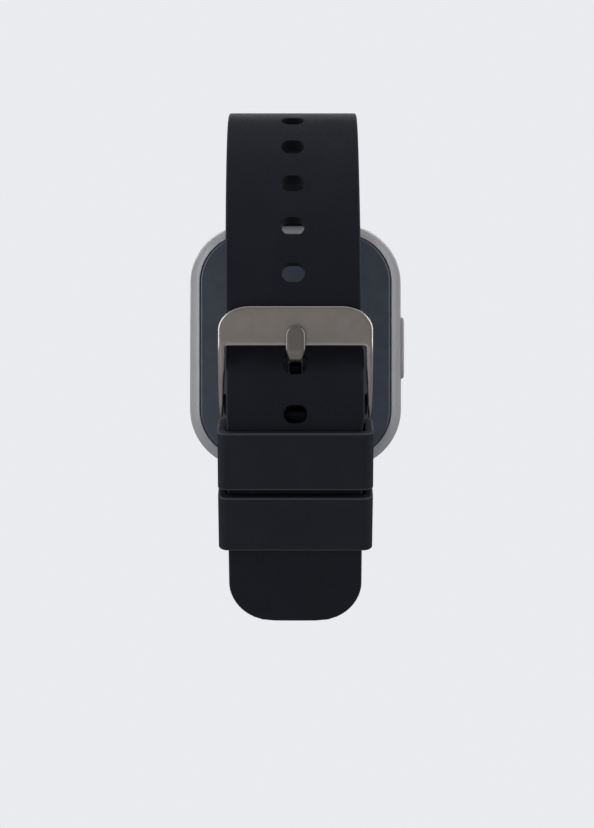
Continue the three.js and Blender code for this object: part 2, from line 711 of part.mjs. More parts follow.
function caseGroup() {
  const group = new THREE.Group();
  const add = (name, body, look) => group.add(meshOf(name, body, look));
  add('mid_case', midCase(), caseGrey);
  const glass = insetOutline(1);
  const domed = softSlab(glass, 0, 11.4, { width: 1.3, depth: 1 }, 6, 3);
  add('display_glass', domed.intersect(slab(insetOutline(0.5), 9.3, 12)), glassBlack);
  add('display_gasket', ring(insetOutline(1.2), roundedRectangle(31.6, 36.4, 7.4), 9.03, 9.27), sealRubber);
  add('display_panel', slab(roundedRectangle(30.4, 31.4, 5.2), 7.9, 9.25, 4), chipBlack);
  add('back_cover', backCover(), coverSlate);
  const backSeal = ring(roundedRectangle(32.6, 33.4, 6), roundedRectangle(31.6, 32.4, 5.6), 2.03, 2.37);
  add('back_gasket', backSeal, sealRubber);
  add('sensor_window', sensorWindow(), windowBlack);
  add('sensor_board', rodY(5.6, 2.45, 2.95, 0, 0, 28), boardGreen);
  add('sensor_led_left', box(-3.6, -2.2, 1.93, 2.42, -0.5, 0.5), ledLens);
  add('sensor_led_right', box(2.2, 3.6, 1.93, 2.42, -0.5, 0.5), ledLens);
  add('photodiode', box(-1.2, 1.2, 1.93, 2.42, -1.2, 1.2), chipBlack);
  for (const [name, side] of [['left', -1], ['right', 1]]) {
    const contact = rodY(CONTACT.radius, 0.75, 2.9, side * CONTACT.x, CONTACT.z, 16);
    add(`charge_contact_${name}`, contact, gold);
  }
  add('inner_frame', innerFrame(), frameBlack);
  const cell = roundedRectangle(16.4, 21.4, 2, -5.2, 2.2);
  add('battery', softSlab(cell, 3.2, 5.6, { width: 0.4, depth: 0.4 }, 3, 1), batteryWrap);
  add('main_board', mainBoard(), boardGreen);
  add('processor_shield', slab(roundedRectangle(13, 11, 0.6, -2, 2), 6.95, 7.7, 2), steel);
  BOARD_SCREWS.forEach((place, i) => add(`board_screw_${i + 1}`, boardScrew(place), steel));
  add('speaker', slab(roundedRectangle(9.2, 7, 1.4, 9, -10.2), 2.7, 5.3, 3), chipBlack);
  add('microphone', box(-13.3, -11.1, 6.95, 7.7, 1.8, 3.4), gold);
  const { x, z, radius, back } = MOTOR;
  add('motor_can', motorCan(), steel);
  add('motor_cover', rodY(radius, back, back + 0.3, x, z), steel);
  add('motor_shaft', rodY(0.4, 2.75, 4.9, x, z, 10), steel);
  add('motor_rotor', motorRotor(), gold);
  add('button_cap', buttonCap(), buttonGrey);
  add('button_seal', ringX(1.35, 0.85, 16.7, 17.3, BUTTON.y, BUTTON.z), sealRubber);
  add('button_clip', ringX(1.5, 0.78, 15, 15.4, BUTTON.y, BUTTON.z), steel);
  add('side_switch', sideSwitch(), chipBlack);
  return group;
}

function strapGroup() {
  const group = new THREE.Group();
  group.add(meshOf('long_strap', longStrap(), silicone));
  group.add(...springBar('upper', 1));
  group.add(meshOf('short_strap', shortStrap(), silicone));
  group.add(...springBar('lower', -1));
  group.add(keeper('keeper_upper', KEEPER_AT.upper));
  group.add(keeper('keeper_lower', KEEPER_AT.lower));
  return group;
}

function buckleGroup() {
  const group = new THREE.Group();
  group.add(meshOf('buckle_frame', buckleFrame(), gunmetal));
  group.add(meshOf('buckle_tongue', buckleTongue(), gunmetal));
  group.add(meshOf('buckle_bar', rodX(BAR_RADIUS, -10.8, 10.8, BAR.y, BAR.z), steel));
  return group;
}

const watch = new THREE.Group();
watch.add(caseGroup(), strapGroup(), buckleGroup());

export default watch;
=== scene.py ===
import math

import bmesh
import bpy
from mathutils import Matrix, Vector


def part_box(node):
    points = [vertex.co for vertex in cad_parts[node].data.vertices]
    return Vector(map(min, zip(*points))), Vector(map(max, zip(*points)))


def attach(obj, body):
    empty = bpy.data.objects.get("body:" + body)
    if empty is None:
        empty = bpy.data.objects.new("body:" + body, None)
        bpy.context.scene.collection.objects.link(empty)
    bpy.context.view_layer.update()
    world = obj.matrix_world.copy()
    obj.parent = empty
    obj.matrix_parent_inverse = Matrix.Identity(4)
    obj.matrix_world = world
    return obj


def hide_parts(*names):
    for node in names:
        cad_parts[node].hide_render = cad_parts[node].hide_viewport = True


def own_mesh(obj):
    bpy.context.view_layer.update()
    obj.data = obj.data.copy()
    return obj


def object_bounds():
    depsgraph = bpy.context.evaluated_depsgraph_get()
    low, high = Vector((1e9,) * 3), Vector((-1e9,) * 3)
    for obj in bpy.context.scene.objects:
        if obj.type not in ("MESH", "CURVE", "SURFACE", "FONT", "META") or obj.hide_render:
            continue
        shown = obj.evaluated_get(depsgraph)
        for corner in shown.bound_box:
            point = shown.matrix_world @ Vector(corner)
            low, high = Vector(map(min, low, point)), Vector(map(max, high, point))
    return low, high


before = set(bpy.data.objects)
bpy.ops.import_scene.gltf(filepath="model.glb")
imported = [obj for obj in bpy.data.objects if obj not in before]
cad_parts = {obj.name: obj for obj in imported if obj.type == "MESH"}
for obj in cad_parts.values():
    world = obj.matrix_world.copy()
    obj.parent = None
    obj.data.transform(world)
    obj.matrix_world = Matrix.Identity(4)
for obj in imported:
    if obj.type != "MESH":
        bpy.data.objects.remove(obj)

# The visual model of a smartwatch with a buckled silicone strap. Sizes are in millimetres and degrees until
# a mesh is made, where MM turns them into metres. +X is the button side, +Y faces the display, +Z is up.

MM = 0.001
cad_low, cad_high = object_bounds()


def clamp(value):
    return min(1, max(0, value))


def middle(node):
    """The centre of a CAD node, in millimetres."""
    low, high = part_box(node)
    return (low + high) / 2 / MM


# ---- Driving dimensions ----

# Case and cover. back and front are the Y of the case's two faces, and a round is (inwards, along Y).
CASE = {"width": 37, "height": 42.7, "corner": 10.3, "back": 1.2, "front": 10.4}
BACK_ROUND = (2.1, 4.4)
FRONT_ROUND = (1, 1.2)
CASE_WAIST = (6.2, 7.6)
CAVITY = (31.2, 32, 5.5)
RECESS = {"inset": 1.95, "floor": 2.4, "lip": 0.15}
GLASS_SEAT = {"inset": 0.8, "floor": 9}
GLASS = {"inset": 1, "back": 9.3, "edge": 10.3, "front": 11.4, "round": (1.3, 1)}
COVER = {"inset": 2.06, "back": 0.8, "front": 2, "round": 0.4}
WINDOW = {"radius": 6, "front": 1.85, "round": 0.4, "gap": 0.3}
CONTACT = {"radius": 1, "hole": 1.3, "back": 0.75, "front": 2.9, "round": 0.18}

# The slot in each end face that a strap swings in, from its open to its closed heading.
SLOT_HALF_WIDTH = 10.3
SLOT_ROUND = 1.85
SLOT_HEADINGS = (84, 119)
SLOT_LENGTH = 8

# Button and microphone hole. X runs from the inside outwards.
BUTTON_CAP = {"height": 3, "length": 10.8, "corner": 1.48, "inner": 17.85, "outer": 19, "round": (0.45, 0.4)}
BUTTON_POCKET = {"height": 3.5, "length": 11.3, "corner": 1.7, "floor": 17.4}
BUTTON_BORES = ((1.5, 16.5), (1, 14))
SOUND_HOLE = {"y": 7, "z": 2.6, "radius": 0.45, "from": -20, "to": -14}

# Strap sections. Both halves swell towards the eye round their lug bar.
STRAP_WIDTH = 20
LONG_THICKNESS = 2.2
SHORT_THICKNESS = 2.5
EDGE_ROUND = 0.3
EYE_RADIUS = 1.5
EYE_TAPER = 12
LUG_BORE = 0.95
BAR_BORE = 0.75

# Holes, (width, length). The one that the tongue pulls on is stretched towards the lug.
PITCH = 6.95
HOLE = (3.4, 2.75)
HOLE_CORNER = 1.28
HOLE_ROUND = 0.12
HOLE_PATCH = 3.2
STRETCHED_HOLE = (3.4, 3.38)
STRETCH_RISE = 0.25
FIRST_HOLE_ABOVE_FRONT = 5.6
HOLES_ABOVE = 6
HOLES_BELOW = 3

# The curve of the loop: the long strap's root, its sharpest bend, the step over the tongue and the wrap.
ROOT = {"heading": 114, "radius": 12, "end": 131.2}
BEND = {"flat": 0.02465, "peak": 0.05067, "at": 46.13, "width": 3.27}
STEP_TOP = 1.2
STEP_RADIUS = 9
WRAP = {"y": 20.4, "z": 3.3, "radius": 75, "end": 22.9}
SHORT_BEND = {"start": 27, "radius": 14, "turn": 23}
SHORT_GAP = 0.2
TIP = {"length": 17.4, "corner_width": 6.4, "corner_length": 6.6, "crown": 0.2}

# The long strap leans to -X round its top, and is pressed wider and off centre between buckle and keeper.
LEAN = {"most": 0.46, "at": 50, "reach": 45, "from_lug": 20}
PRESSED = {"spread": 0.015, "shift": 0.15, "above": 3.5, "below": 9}
# The short strap is wider beside the buckle bar, and has a slot there for the tongue.
BAR_FLARE = {"most": 0.6, "from": 1.5, "to": 2.2}
TONGUE_SLOT = {"gap": 0.13, "end": 1.25}

# Buckle. opening, inner and outer are half widths, and the arms narrow from the crossbar to their feet.
BUCKLE = {"half_width": 11.375, "opening": 10.35, "top": 5.85, "bottom": 0.15}
BUCKLE_CORNER = (4.7, 3.5)
BUCKLE_FILLET = 0.45
BUCKLE_ROUND = 0.34
BUCKLE_HALF_THICKNESS = 1
ARM_END_RADIUS = 1.7
ARM_FOOT = {"inner": 10.78, "outer": 11.08, "below_bar": 2.3}
ARM_LEAN = 22
ARM_BEND = 5
CROSSBAR_MIDDLE = -53.3
FRAME_BORE_HALF = 10.95

# Tongue. It rises beside the bar, leans out through its hole and ends on the crossbar.
TONGUE = {
    "half_width": 1.45,
    "neck": 1,
    "half_thickness": 0.5,
    "round": 0.36,
    "face": -55,
    "tip": 3,
    "eye": 1.2,
    "rise": 5.15,
    "bend": 1.2,
    "lean": 88,
}

# Keepers, and the angle of each round the centre of the wrap.
KEEPER = {"width": 22.95, "length": 8.76, "corner": 1.4, "side": 1.25, "front": 1.6, "gap": 0.3, "back": 1.4}
KEEPER_ROUND = 0.2
KEEPER_AT = {"keeper_upper": 15.4, "keeper_lower": 22.9}

# Bar springs.
SPRING = {"radius": 0.34, "wire": 0.1, "half_length": 7.7, "turns": 6, "pin_travel": 1.2}

# Places that the frame gives.
UPPER_LUG = middle("upper_bar_tube")
LOWER_LUG = middle("lower_bar_tube")
BAR = middle("buckle_bar")
BUTTON = middle("button_seal")


# ---- Routes: centre lines in the Y-Z plane ----


class Route:
    """Places with a heading (0 along +Y, 90 along +Z) and the distance along to each of them."""

    def __init__(self, y, z, heading):
        self.points = [(y, z, heading, 0.0)]

    def end(self):
        return self.points[-1]

    def move(self, length, turn):
        y, z, heading, at = self.end()
        way = math.radians(heading + turn / 2)
        to_y = y + length * math.cos(way)
        to_z = z + length * math.sin(way)
        self.points.append((to_y, to_z, heading + turn, at + length))

    def line(self, length):
        self.move(length, 0)
        return self

    def arc(self, radius, turn, steps=None):
        """A left turn is positive."""
        steps = steps or math.ceil(abs(turn) / 6.5)
        for _ in range(steps):
            self.move(radius * math.radians(abs(turn)) / steps, turn / steps)
        return self

    def arc_to(self, y, z):
        """One arc that ends on a given point."""
        from_y, from_z, heading, _ = self.end()
        chord = math.hypot(y - from_y, z - from_z)
        offset = math.atan2(z - from_z, y - from_y) - math.radians(heading)
        half = math.atan2(math.sin(offset), math.cos(offset))
        return self.arc(chord / (2 * math.sin(abs(half))), math.degrees(2 * half))

    def place(self, distance):
        """Y, Z and heading a distance along, on a smooth curve through the points."""
        last = len(self.points) - 1
        after = next((i for i in range(1, last) if self.points[i][3] >= distance), last)
        a_y, a_z, a_heading, a_at = self.points[after - 1]
        b_y, b_z, b_heading, b_at = self.points[after]
        length = b_at - a_at
        t = (distance - a_at) / length
        heading = a_heading + (b_heading - a_heading) * t
        if t < 0 or t > 1:
            near_y, near_z, near_at = (a_y, a_z, a_at) if t < 0 else (b_y, b_z, b_at)
            way = math.radians(a_heading if t < 0 else b_heading)
            beyond = distance - near_at
            return near_y + beyond * math.cos(way), near_z + beyond * math.sin(way), math.degrees(way)
        a_way, b_way = math.radians(a_heading), math.radians(b_heading)
        shares = (
            2 * t**3 - 3 * t**2 + 1,
            (t**3 - 2 * t**2 + t) * length,
            3 * t**2 - 2 * t**3,
            (t**3 - t**2) * length,
        )
        y = sum(s * v for s, v in zip(shares, (a_y, math.cos(a_way), b_y, math.cos(b_way))))
        z = sum(s * v for s, v in zip(shares, (a_z, math.sin(a_way), b_z, math.sin(b_way))))
        return y, z, heading

    def point(self, x, distance, through):
        """A point in millimetres: x across, a distance along, and through towards the wrist."""
        y, z, heading = self.place(distance)
        way = math.radians(heading)
        return Vector((x, y - through * math.sin(way), z + through * math.cos(way)))


def long_route():
    """From the upper lug over the top of the loop to its front, then down the front to the tip."""
    route = Route(UPPER_LUG.y, UPPER_LUG.z, ROOT["heading"])
    route.arc(ROOT["radius"], ROOT["end"] - ROOT["heading"])
    root = route.end()[3]
    step = 2.2
    while route.end()[2] < 270:
        centre = route.end()[3] - root + step / 2
        bend = BEND["flat"] + BEND["peak"] / (1 + ((centre - BEND["at"]) / BEND["width"]) ** 2)
        turn = math.degrees(bend * step)
        share = min(1, (270 - route.end()[2]) / turn)
        route.move(step * share, turn * share + (1e-9 if share < 1 else 0))
    y, z, _, front = route.end()
    route.points[-1] = (y, z, 270, front)
    route.line(z - STEP_TOP)
    radius = WRAP["radius"] - LONG_THICKNESS / 2
    to_y = WRAP["y"] - (y - STEP_RADIUS)
    to_z = WRAP["z"] - STEP_TOP
    apart = math.hypot(to_y, to_z)
    side = radius - STEP_RADIUS
    total = 2 * STEP_RADIUS
    tilt = math.atan2(to_z, to_y)
    out = math.degrees(math.acos((total**2 + apart**2 - side**2) / (2 * total * apart)) - tilt)
    start = math.degrees(math.acos((side**2 + apart**2 - total**2) / (2 * side * apart)) + tilt)
    route.arc(STEP_RADIUS, -out).arc(STEP_RADIUS, out + start)
    route.arc(radius, WRAP["end"] - start, 8).line(TIP["length"])
    return route, front


SHORT_RADIUS = WRAP["radius"] - LONG_THICKNESS - SHORT_GAP - SHORT_THICKNESS / 2
BAR_ANGLE = math.degrees(math.asin((WRAP["z"] - BAR.z) / SHORT_RADIUS))


def short_route():
    """From the buckle bar down and back to the lower lug."""
    route = Route(BAR.y, BAR.z, 270 + BAR_ANGLE)
    route.arc(SHORT_RADIUS, SHORT_BEND["start"] - BAR_ANGLE, 6)
    route.arc(SHORT_BEND["radius"], 90 - SHORT_BEND["start"], 10)
    last = math.radians(180 - ROOT["heading"])
    join = last - math.radians(SHORT_BEND["turn"])
    join_y = LOWER_LUG.y - ROOT["radius"] * (math.sin(last) - math.sin(join))
    join_z = LOWER_LUG.z - ROOT["radius"] * (math.cos(join) - math.cos(last))
    return route.arc_to(join_y, join_z).arc(ROOT["radius"], SHORT_BEND["turn"])


# ---- Meshes ----


def add_object(name, data):
    made = bpy.data.objects.new(name, data)
    bpy.context.scene.collection.objects.link(made)
    return made


def piece(name, points, faces, edge=None, hole=None):
    """A mesh object from points in millimetres. edge and hole are each point's distance from an outer
    edge and from the edge of a hole, which the materials read."""
    mesh = bpy.data.meshes.new(name)
    mesh.from_pydata([tuple(p * MM) for p in points], [], faces)
    for kind, values in (("edge", edge), ("hole", hole)):
        if values is not None:
            mesh.attributes.new(kind, "FLOAT", "POINT").data.foreach_set("value", values)
    tidy_mesh(mesh)
    return add_object(name, mesh)


def tidy_mesh(mesh, sharp=35):
    """Joins points that meet, turns the faces outwards and shades them smooth up to an angle."""
    work = bmesh.new()
    work.from_mesh(mesh)
    bmesh.ops.remove_doubles(work, verts=work.verts, dist=2e-7)
    bmesh.ops.dissolve_degenerate(work, edges=work.edges, dist=1e-7)
    bmesh.ops.recalc_face_normals(work, faces=work.faces)
    for face in work.faces:
        face.smooth = True
    for e in work.edges:
        e.smooth = len(e.link_faces) == 2 and e.calc_face_angle() < math.radians(sharp)
    work.to_mesh(mesh)
    work.free()


def cut(target, *cutters):
    """Cuts each cutter out of the target and removes it."""
    for cutter in cutters:
        change = target.modifiers.new("cut", "BOOLEAN")
        change.operation = "DIFFERENCE"
        change.solver = "EXACT"
        change.object = cutter
    bpy.context.view_layer.update()
    seen = target.evaluated_get(bpy.context.evaluated_depsgraph_get())
    mesh = bpy.data.meshes.new_from_object(seen)
    target.modifiers.clear()
    old = target.data
    target.data = mesh
    bpy.data.meshes.remove(old)
    mesh.name = target.name
    for cutter in cutters:
        bpy.data.objects.remove(cutter)
    tidy_mesh(mesh)
    return target


def prism(name, outline, low, high):
    """A Y-Z outline with thickness along X, used as a cutter."""
    count = len(outline)
    points = [Vector((x, y, z)) for x in (low, high) for y, z in outline]
    faces = [tuple(range(count)), tuple(range(count, 2 * count))]
    faces += [(i, (i + 1) % count, count + (i + 1) % count, count + i) for i in range(count)]
    return piece(name, points, faces)


def bore(centre, radius, half_length):
    """A cutter along X."""
    return prism("bore", circle(centre.y, centre.z, radius), -half_length, half_length)


def circle(y, z, radius, sides=32):
    turn = 2 * math.pi / sides
    return [(y + radius * math.cos(turn * i), z + radius * math.sin(turn * i)) for i in range(sides)]


def rounded_loop(width, height, corner, place, segments=18, along=4):
    """A closed loop of points round a rounded rectangle; place turns two coordinates into a point."""
    points = []
    w, h = width / 2 - corner, height / 2 - corner
    for quarter, (a, b) in enumerate(((w, h), (-w, h), (-w, -h), (w, -h))):
        for i in range(segments + 1):
            angle = math.radians(90 * (quarter + i / segments))
            points.append((a + corner * math.cos(angle), b + corner * math.sin(angle)))
        next_a, next_b = ((-w, h), (-w, -h), (w, -h), (w, h))[quarter]
        angle = math.radians(90 * (quarter + 1))
        end = (next_a + corner * math.cos(angle), next_b + corner * math.sin(angle))
        start = points[-1]
        for i in range(1, along):
            t = i / along
            points.append((start[0] + (end[0] - start[0]) * t, start[1] + (end[1] - start[1]) * t))
    return [place(a, b) for a, b in points]


def loft(name, loops, ring=False, edge=None):
    """Joins loops of equal length; a ring also joins the last to the first, otherwise both ends are
    capped. edge is the distance to a rounded edge, for each loop."""
    count = len(loops[0])
    points = [p for loop in loops for p in loop]
    faces = []
    for k in range(len(loops) if ring else len(loops) - 1):
        a, b = k * count, (k + 1) % len(loops) * count
        faces += [(a + i, a + (i + 1) % count, b + (i + 1) % count, b + i) for i in range(count)]
    if not ring:
        faces += [tuple(range(count)), tuple(range(len(points) - count, len(points)))]
    return piece(name, points, faces, edge and [distance for distance in edge for _ in range(count)])


def lathe(name, profile, centre, axis="Y", sides=64):
    """Turns a profile of (radius, place along the axis) round an axis through centre."""
    loops = []
    for radius, along in profile:
        loop = []
        for i in range(sides):
            angle = 2 * math.pi * i / sides
            a, b = radius * math.cos(angle), radius * math.sin(angle)
            offset = (a, along, b) if axis == "Y" else (along, a, b)
            loop.append(Vector(centre) + Vector(offset))
        loops.append(loop)
    return loft(name, loops)


def quarter(width, depth, steps=8):
    """Steps of a quarter ellipse: (inwards, along) pairs from (0, depth) to (width, 0)."""
    angles = [math.radians(90 * i / steps) for i in range(steps + 1)]
    return [(width * (1 - math.cos(a)), depth * (1 - math.sin(a))) for a in angles]


# ---- Flat strips that follow a route: the straps, the buckle frame and its tongue ----

NEAR_EDGE = (0, 0.05, 0.14, 0.28)


def ray_to_corner(c, d, wide, high):
    """How far a ray (c, d) runs from the middle of a rounded rectangle to its outline; wide and high are
    half its straight sides."""
    corner = HOLE_CORNER
    if c > 0 and (wide + corner) / c * d <= high:
        return (wide + corner) / c
    if d > 0 and (high + corner) / d * c <= wide:
        return (high + corner) / d
    towards = c * wide + d * high
    return towards + math.sqrt(towards**2 - wide**2 - high**2 + corner**2)


class Strip:
    """A flat plan of quads, x across and s along, that is given a thickness and laid along a route."""

    def __init__(self, columns, rows):
        self.columns = sorted({round(x, 6) for x in columns})
        self.rows = sorted({round(s, 6) for s in rows})
        self.points = []
        self.edge = []
        self.by_hole = {}
        self.faces = []
        self.on_grid = {}

    def add(self, x, s, edge):
        self.points.append((x, s))
        self.edge.append(edge)
        return len(self.points) - 1

    def at(self, i, j, edge_of):
        if (i, j) not in self.on_grid:
            x, s = self.columns[i], self.rows[j]
            self.on_grid[i, j] = self.add(x, s, edge_of(x, s))
        return self.on_grid[i, j]

    def fill(self, keep, edge_of):
        """A quad for each cell of the grid whose middle is kept."""
        for i in range(len(self.columns) - 1):
            for j in range(len(self.rows) - 1):
                x = (self.columns[i] + self.columns[i + 1]) / 2
                s = (self.rows[j] + self.rows[j + 1]) / 2
                if keep(x, s):
                    corners = ((i, j), (i + 1, j), (i + 1, j + 1), (i, j + 1))
                    self.faces.append(tuple(self.at(*c, edge_of) for c in corners))

    def hole(self, centre, size, rise, half_width, half_length, edge_of):
        """Rings of quads from a pill-shaped hole out to the grid lines round it."""
        inside = [i for i, x in enumerate(self.columns) if abs(x) < half_width + 1e-6]
        along = [j for j, s in enumerate(self.rows) if abs(s - centre) < half_length + 1e-6]
        low, high, first, last = inside[0], inside[-1], along[0], along[-1]
        loop = [(i, first) for i in range(low, high)] + [(high, j) for j in range(first, last)]
        loop += [(i, last) for i in range(high, low, -1)] + [(low, j) for j in range(last, first, -1)]
        outer = [self.at(i, j, edge_of) for i, j in loop]
        flat = [side / 2 - HOLE_CORNER for side in size]
        rings = []
        for edge, share in (*[(d, 0) for d in NEAR_EDGE], (0.42, 0), (0.6, 0.15), (0.6, 0.5)):
            ring = []
            for index in outer:
                x, s = self.points[index][0], self.points[index][1] - centre
                angle = math.atan2(s / half_length, x / half_width)
                c, d = math.cos(angle), math.sin(angle)
                reach = ray_to_corner(abs(c), abs(d), *flat)
                near_x, near_s = (reach + edge) * c, (reach + edge) * d - rise
                ring_x, ring_s = near_x + (x - near_x) * share, near_s + (s - near_s) * share
                ring.append(self.add(ring_x, centre + ring_s, edge + EDGE_ROUND - HOLE_ROUND))
                self.by_hole[ring[-1]] = edge
            rings.append(ring)
        rings.append(outer)
        for a, b in zip(rings, rings[1:]):
            self.faces += [(a[k], a[k - 1], b[k - 1], b[k]) for k in range(len(outer))]

    def round_corners(self, half_width, end, size, way=1):
        """Rounds both corners at an end, keeping the lines near the outline parallel to it."""
        wide, long = size
        for index, (x, s) in enumerate(self.points):
            a, b = half_width - abs(x), way * (end - s)
            inset = min(a, b)
            if inset >= min(wide, long):
                continue
            t = (b - inset) / (long - inset) if a <= b else (a - inset) / (wide - inset)
            if t >= 1:
                continue
            angle = math.radians(45 * (1 - t) if a <= b else 45 + 45 * t)
            new_a = wide - (wide - inset) * math.cos(angle)
            new_b = long - (long - inset) * math.sin(angle)
            self.points[index] = (math.copysign(half_width - new_a, x), end - way * new_b)

    def solid(self, name, route, half, rounding):
        """Lays the strip along a route; half(x, s) is half its thickness away from the rounded edges."""
        points = []
        edge = []
        hole = []
        for side in (1, -1):
            for index, ((x, s), distance) in enumerate(zip(self.points, self.edge)):
                thick = half(x, s)
                round_over = min(rounding, thick)
                short = max(0, round_over - distance)
                through = thick - round_over + math.sqrt(max(0, round_over**2 - short**2))
                points.append(route.point(x, s, side * through))
                edge.append(1.0 if index in self.by_hole else min(distance, 1.0))
                hole.append(self.by_hole.get(index, 1.0))
        count = len(self.points)
        faces = list(self.faces) + [tuple(i + count for i in reversed(f)) for f in self.faces]
        uses = {}
        for face in self.faces:
            for a, b in zip(face, face[1:] + face[:1]):
                uses.setdefault((min(a, b), max(a, b)), []).append((a, b))
        rims = [ways[0] for ways in uses.values() if len(ways) == 1]
        faces += [(b, a, a + count, b + count) for a, b in rims]
        return piece(name, points, faces, edge, hole)


def mirrored(values):
    return sorted({round(side * v, 6) for v in values for side in (1, -1)})


def spread(low, high, step):
    """Evenly spaced values from low to high, no further apart than step."""
    count = max(1, math.ceil((high - low) / step - 1e-9))
    return [low + (high - low) * i / count for i in range(count + 1)]


def cap_rows(radius):
    """Rows over a round end that lies before distance 0."""
    return [-radius * math.cos(math.radians(a)) for a in range(0, 90, 9)]


def round_end(radius, beyond):
    """How much of the thickness is left at a distance beyond the centre of a round end."""
    return math.sqrt(max(0, 1 - (beyond / radius) ** 2)) if beyond > 0 else 1


def swelling(thin, to_lug):
    t = clamp(1 - to_lug / EYE_TAPER)
    return thin / 2 + (EYE_RADIUS - thin / 2) * t * t * (3 - 2 * t)


long_line, long_front = long_route()
short_line = short_route()


def strap_columns(centre):
    half = STRAP_WIDTH / 2
    near = [half - d for d in (*NEAR_EDGE, EDGE_ROUND, 0.7, 1.5, 2.8, 4.6)]
    return mirrored([*near, *centre])


def long_strap():
    """From the lug bar round to the tip, with its row of holes."""
    length = long_line.end()[3]
    half_length = PITCH / 2 * 0.98
    first = long_front - FIRST_HOLE_ABOVE_FRONT
    centres = [first - PITCH * i for i in range(HOLES_ABOVE, -HOLES_BELOW - 1, -1)]
    tongue_hole = centres[-2]
    ends = [c + side * half_length for c in centres for side in (-1, 1)]
    rows = cap_rows(EYE_RADIUS) + spread(0, ends[0], 0.45)
    for low, high in zip(ends, ends[1:]):
        rows += spread(low, high, 0.5)[1:]
    rows += spread(ends[-1], length - 1.5, 0.5)[1:]
    rows += [length - d for d in (*NEAR_EDGE, EDGE_ROUND, 0.7, 1.1)]
    strip = Strip(strap_columns(spread(0, HOLE_PATCH, 0.4)), rows)

    def edge_of(x, s):
        return min(STRAP_WIDTH / 2 - abs(x), length - s)

    def keep(x, s):
        return not any(abs(x) < HOLE_PATCH and abs(s - c) < half_length for c in centres)

    strip.fill(keep, edge_of)
    for centre in centres:
        size, rise = (STRETCHED_HOLE, STRETCH_RISE) if centre == tongue_hole else (HOLE, 0)
        strip.hole(centre, size, rise, HOLE_PATCH, half_length, edge_of)
    strip.round_corners(STRAP_WIDTH / 2, length, (TIP["corner_width"], TIP["corner_length"]))
    for index, (x, s) in enumerate(strip.points):
        to_end = clamp((s - length + TIP["corner_length"]) / TIP["corner_length"])
        lean = LEAN["most"] * math.exp(-(((s - LEAN["at"]) / LEAN["reach"]) ** 2))
        lean *= clamp(s / LEAN["from_lug"])
        pressed = clamp(s - tongue_hole + PRESSED["above"])
        pressed *= clamp(tongue_hole + PRESSED["below"] - s)
        x += pressed * (PRESSED["spread"] * x + PRESSED["shift"])
        strip.points[index] = (x - lean, s - TIP["crown"] * to_end * (2 * x / STRAP_WIDTH) ** 2)
    made = strip.solid(
        "long_strap_skin",
        long_line,
        lambda x, s: swelling(LONG_THICKNESS, s) * round_end(EYE_RADIUS, -s),
        EDGE_ROUND,
    )
    return cut(made, bore(UPPER_LUG, LUG_BORE, STRAP_WIDTH))


def short_strap():
    """From the buckle bar down and back to its lug bar."""
    length = short_line.end()[3]
    thin = SHORT_THICKNESS / 2
    slot = TONGUE["half_width"] + TONGUE_SLOT["gap"]
    slot_end = TONGUE_SLOT["end"]
    rows = cap_rows(thin) + [0, 0.4, 0.8, 1.1]
    rows += [slot_end + d for d in (*NEAR_EDGE, EDGE_ROUND)] + spread(2.3, length, 0.45)
    rows += [length - r for r in cap_rows(EYE_RADIUS)]
    columns = strap_columns([3.4, *[slot + d for d in (*NEAR_EDGE, EDGE_ROUND)], 1, 0])
    strip = Strip(columns, rows)

    def edge_of(x, s):
        to_slot = max(abs(x) - slot, s - slot_end)
        return min(STRAP_WIDTH / 2 - abs(x), max(0, to_slot))

    strip.fill(lambda x, s: abs(x) > slot or s > slot_end, edge_of)
    for index, (x, s) in enumerate(strip.points):
        share = clamp((BAR_FLARE["to"] - s) / (BAR_FLARE["to"] - BAR_FLARE["from"]))
        if abs(x) > STRAP_WIDTH / 4:
            strip.points[index] = (x * (1 + share * BAR_FLARE["most"] * 2 / STRAP_WIDTH), s)

    def half(x, s):
        both_ends = round_end(thin, -s) * round_end(EYE_RADIUS, s - length)
        return swelling(SHORT_THICKNESS, length - s) * both_ends

    made = strip.solid("short_strap_skin", short_line, half, EDGE_ROUND)
    return cut(made, bore(LOWER_LUG, LUG_BORE, STRAP_WIDTH), bore(BAR, BAR_BORE, STRAP_WIDTH))


# ---- Buckle ----


